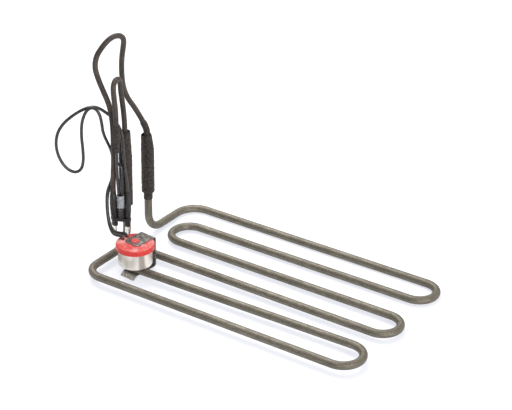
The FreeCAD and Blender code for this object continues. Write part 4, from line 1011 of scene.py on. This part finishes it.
def joint_finish():
    """Closed joint cap: pale translucent nylon above, dark and creased below the crimp."""
    finish = Finish("joint_cap_nylon", Coat_Weight=0.2, Coat_Roughness=0.2)
    where = finish.place()
    wear = finish.noise(where, 0.45, 4.0, 0.75)
    upper = (finish.axis(where, "Z") + wear * 5.0).above(49.3, 50.6)
    pale = finish.blend(wear.above(0.38, 0.66), (0.30, 0.34, 0.385), (0.50, 0.54, 0.58))
    finish.set("Base Color", finish.blend(upper, (0.035, 0.036, 0.040), pale))
    finish.set("Roughness", 0.28 + wear * 0.2)
    finish.relief(wear, 0.08)
    return finish


def plain_finish(name, colour, base, metal=0.0, scale=1.2):
    """A hidden part's material, with a light grain."""
    finish = Finish(name, Metallic=metal)
    grain = finish.noise(finish.place(), scale, 3.0, 0.6)
    dark = tuple(0.75 * one for one in colour)
    finish.set("Base Color", finish.blend(grain, dark, colour))
    finish.set("Roughness", base + grain * 0.12)
    finish.relief(grain, 0.03)
    return finish


# The scene

camera()
studio()

FINISHES = {finish.name: finish for finish in (
    sheath_finish(), sleeve_finish(), lead_finish(), wire_finish(), boot_finish(), tie_finish(),
    tin_finish(), cup_finish(), cap_finish(), spring_finish(), joint_finish(),
    plain_finish("magnesia", (0.80, 0.79, 0.76), 0.8, scale=2.5),
    plain_finish("winding", (0.40, 0.38, 0.35), 0.4, 0.9),
    plain_finish("pin_steel", (0.50, 0.49, 0.47), 0.35, 0.9),
    plain_finish("seal_rubber", (0.30, 0.10, 0.07), 0.6),
    plain_finish("crimp_metal", (0.62, 0.61, 0.58), 0.3, 1.0),
    plain_finish("bimetal", (0.55, 0.51, 0.45), 0.3, 1.0),
    plain_finish("base_phenolic", (0.09, 0.065, 0.05), 0.5),
    plain_finish("striker_ceramic", (0.80, 0.78, 0.74), 0.4),
    plain_finish("contact_copper", (0.70, 0.48, 0.25), 0.3, 1.0),
    plain_finish("contact_silver", (0.80, 0.80, 0.79), 0.25, 1.0),
)}
# The solids that stay, by finish
SOLIDS = {
    "magnesia": ["magnesia_fill"],
    "winding": ["resistance_winding"],
    "pin_steel": ["back_cold_pin", "front_cold_pin"],
    "seal_rubber": ["back_end_seal", "front_end_seal"],
    "crimp_metal": ["back_pin_crimp", "front_pin_crimp", "splice_barrel", "joint_barrel"],
    "cup_aluminium": ["switch_cup"],
    "cap_red": ["switch_cap"],
    "bimetal": ["bimetal_disc"],
    "base_phenolic": ["switch_base"],
    "striker_ceramic": ["striker_pin"],
    "contact_copper": ["contact_arm", "arm_post", "fixed_post", "arm_lug", "fixed_lug"],
    "contact_silver": ["moving_contact", "fixed_contact"],
}

for node in CORDS:
    cord_piece(node)
sheath_piece()
riser_sleeves("back", BACK_Y, low=38.0, foot=44.5, top=98.0, taper=84.0, seed=1)
riser_sleeves("front", FRONT_Y, low=37.5, foot=44.5, top=112.0, taper=90.0, seed=2)
splice_sleeve()
for name in BOOTS:
    boot_piece(name)
    tab_piece(name)
joint_cap_piece()
clip_piece()
tie_piece()

for slot, nodes in SOLIDS.items():
    for node in nodes:
        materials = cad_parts[node].data.materials
        materials.clear()
        materials.append(FINISHES[slot].material)
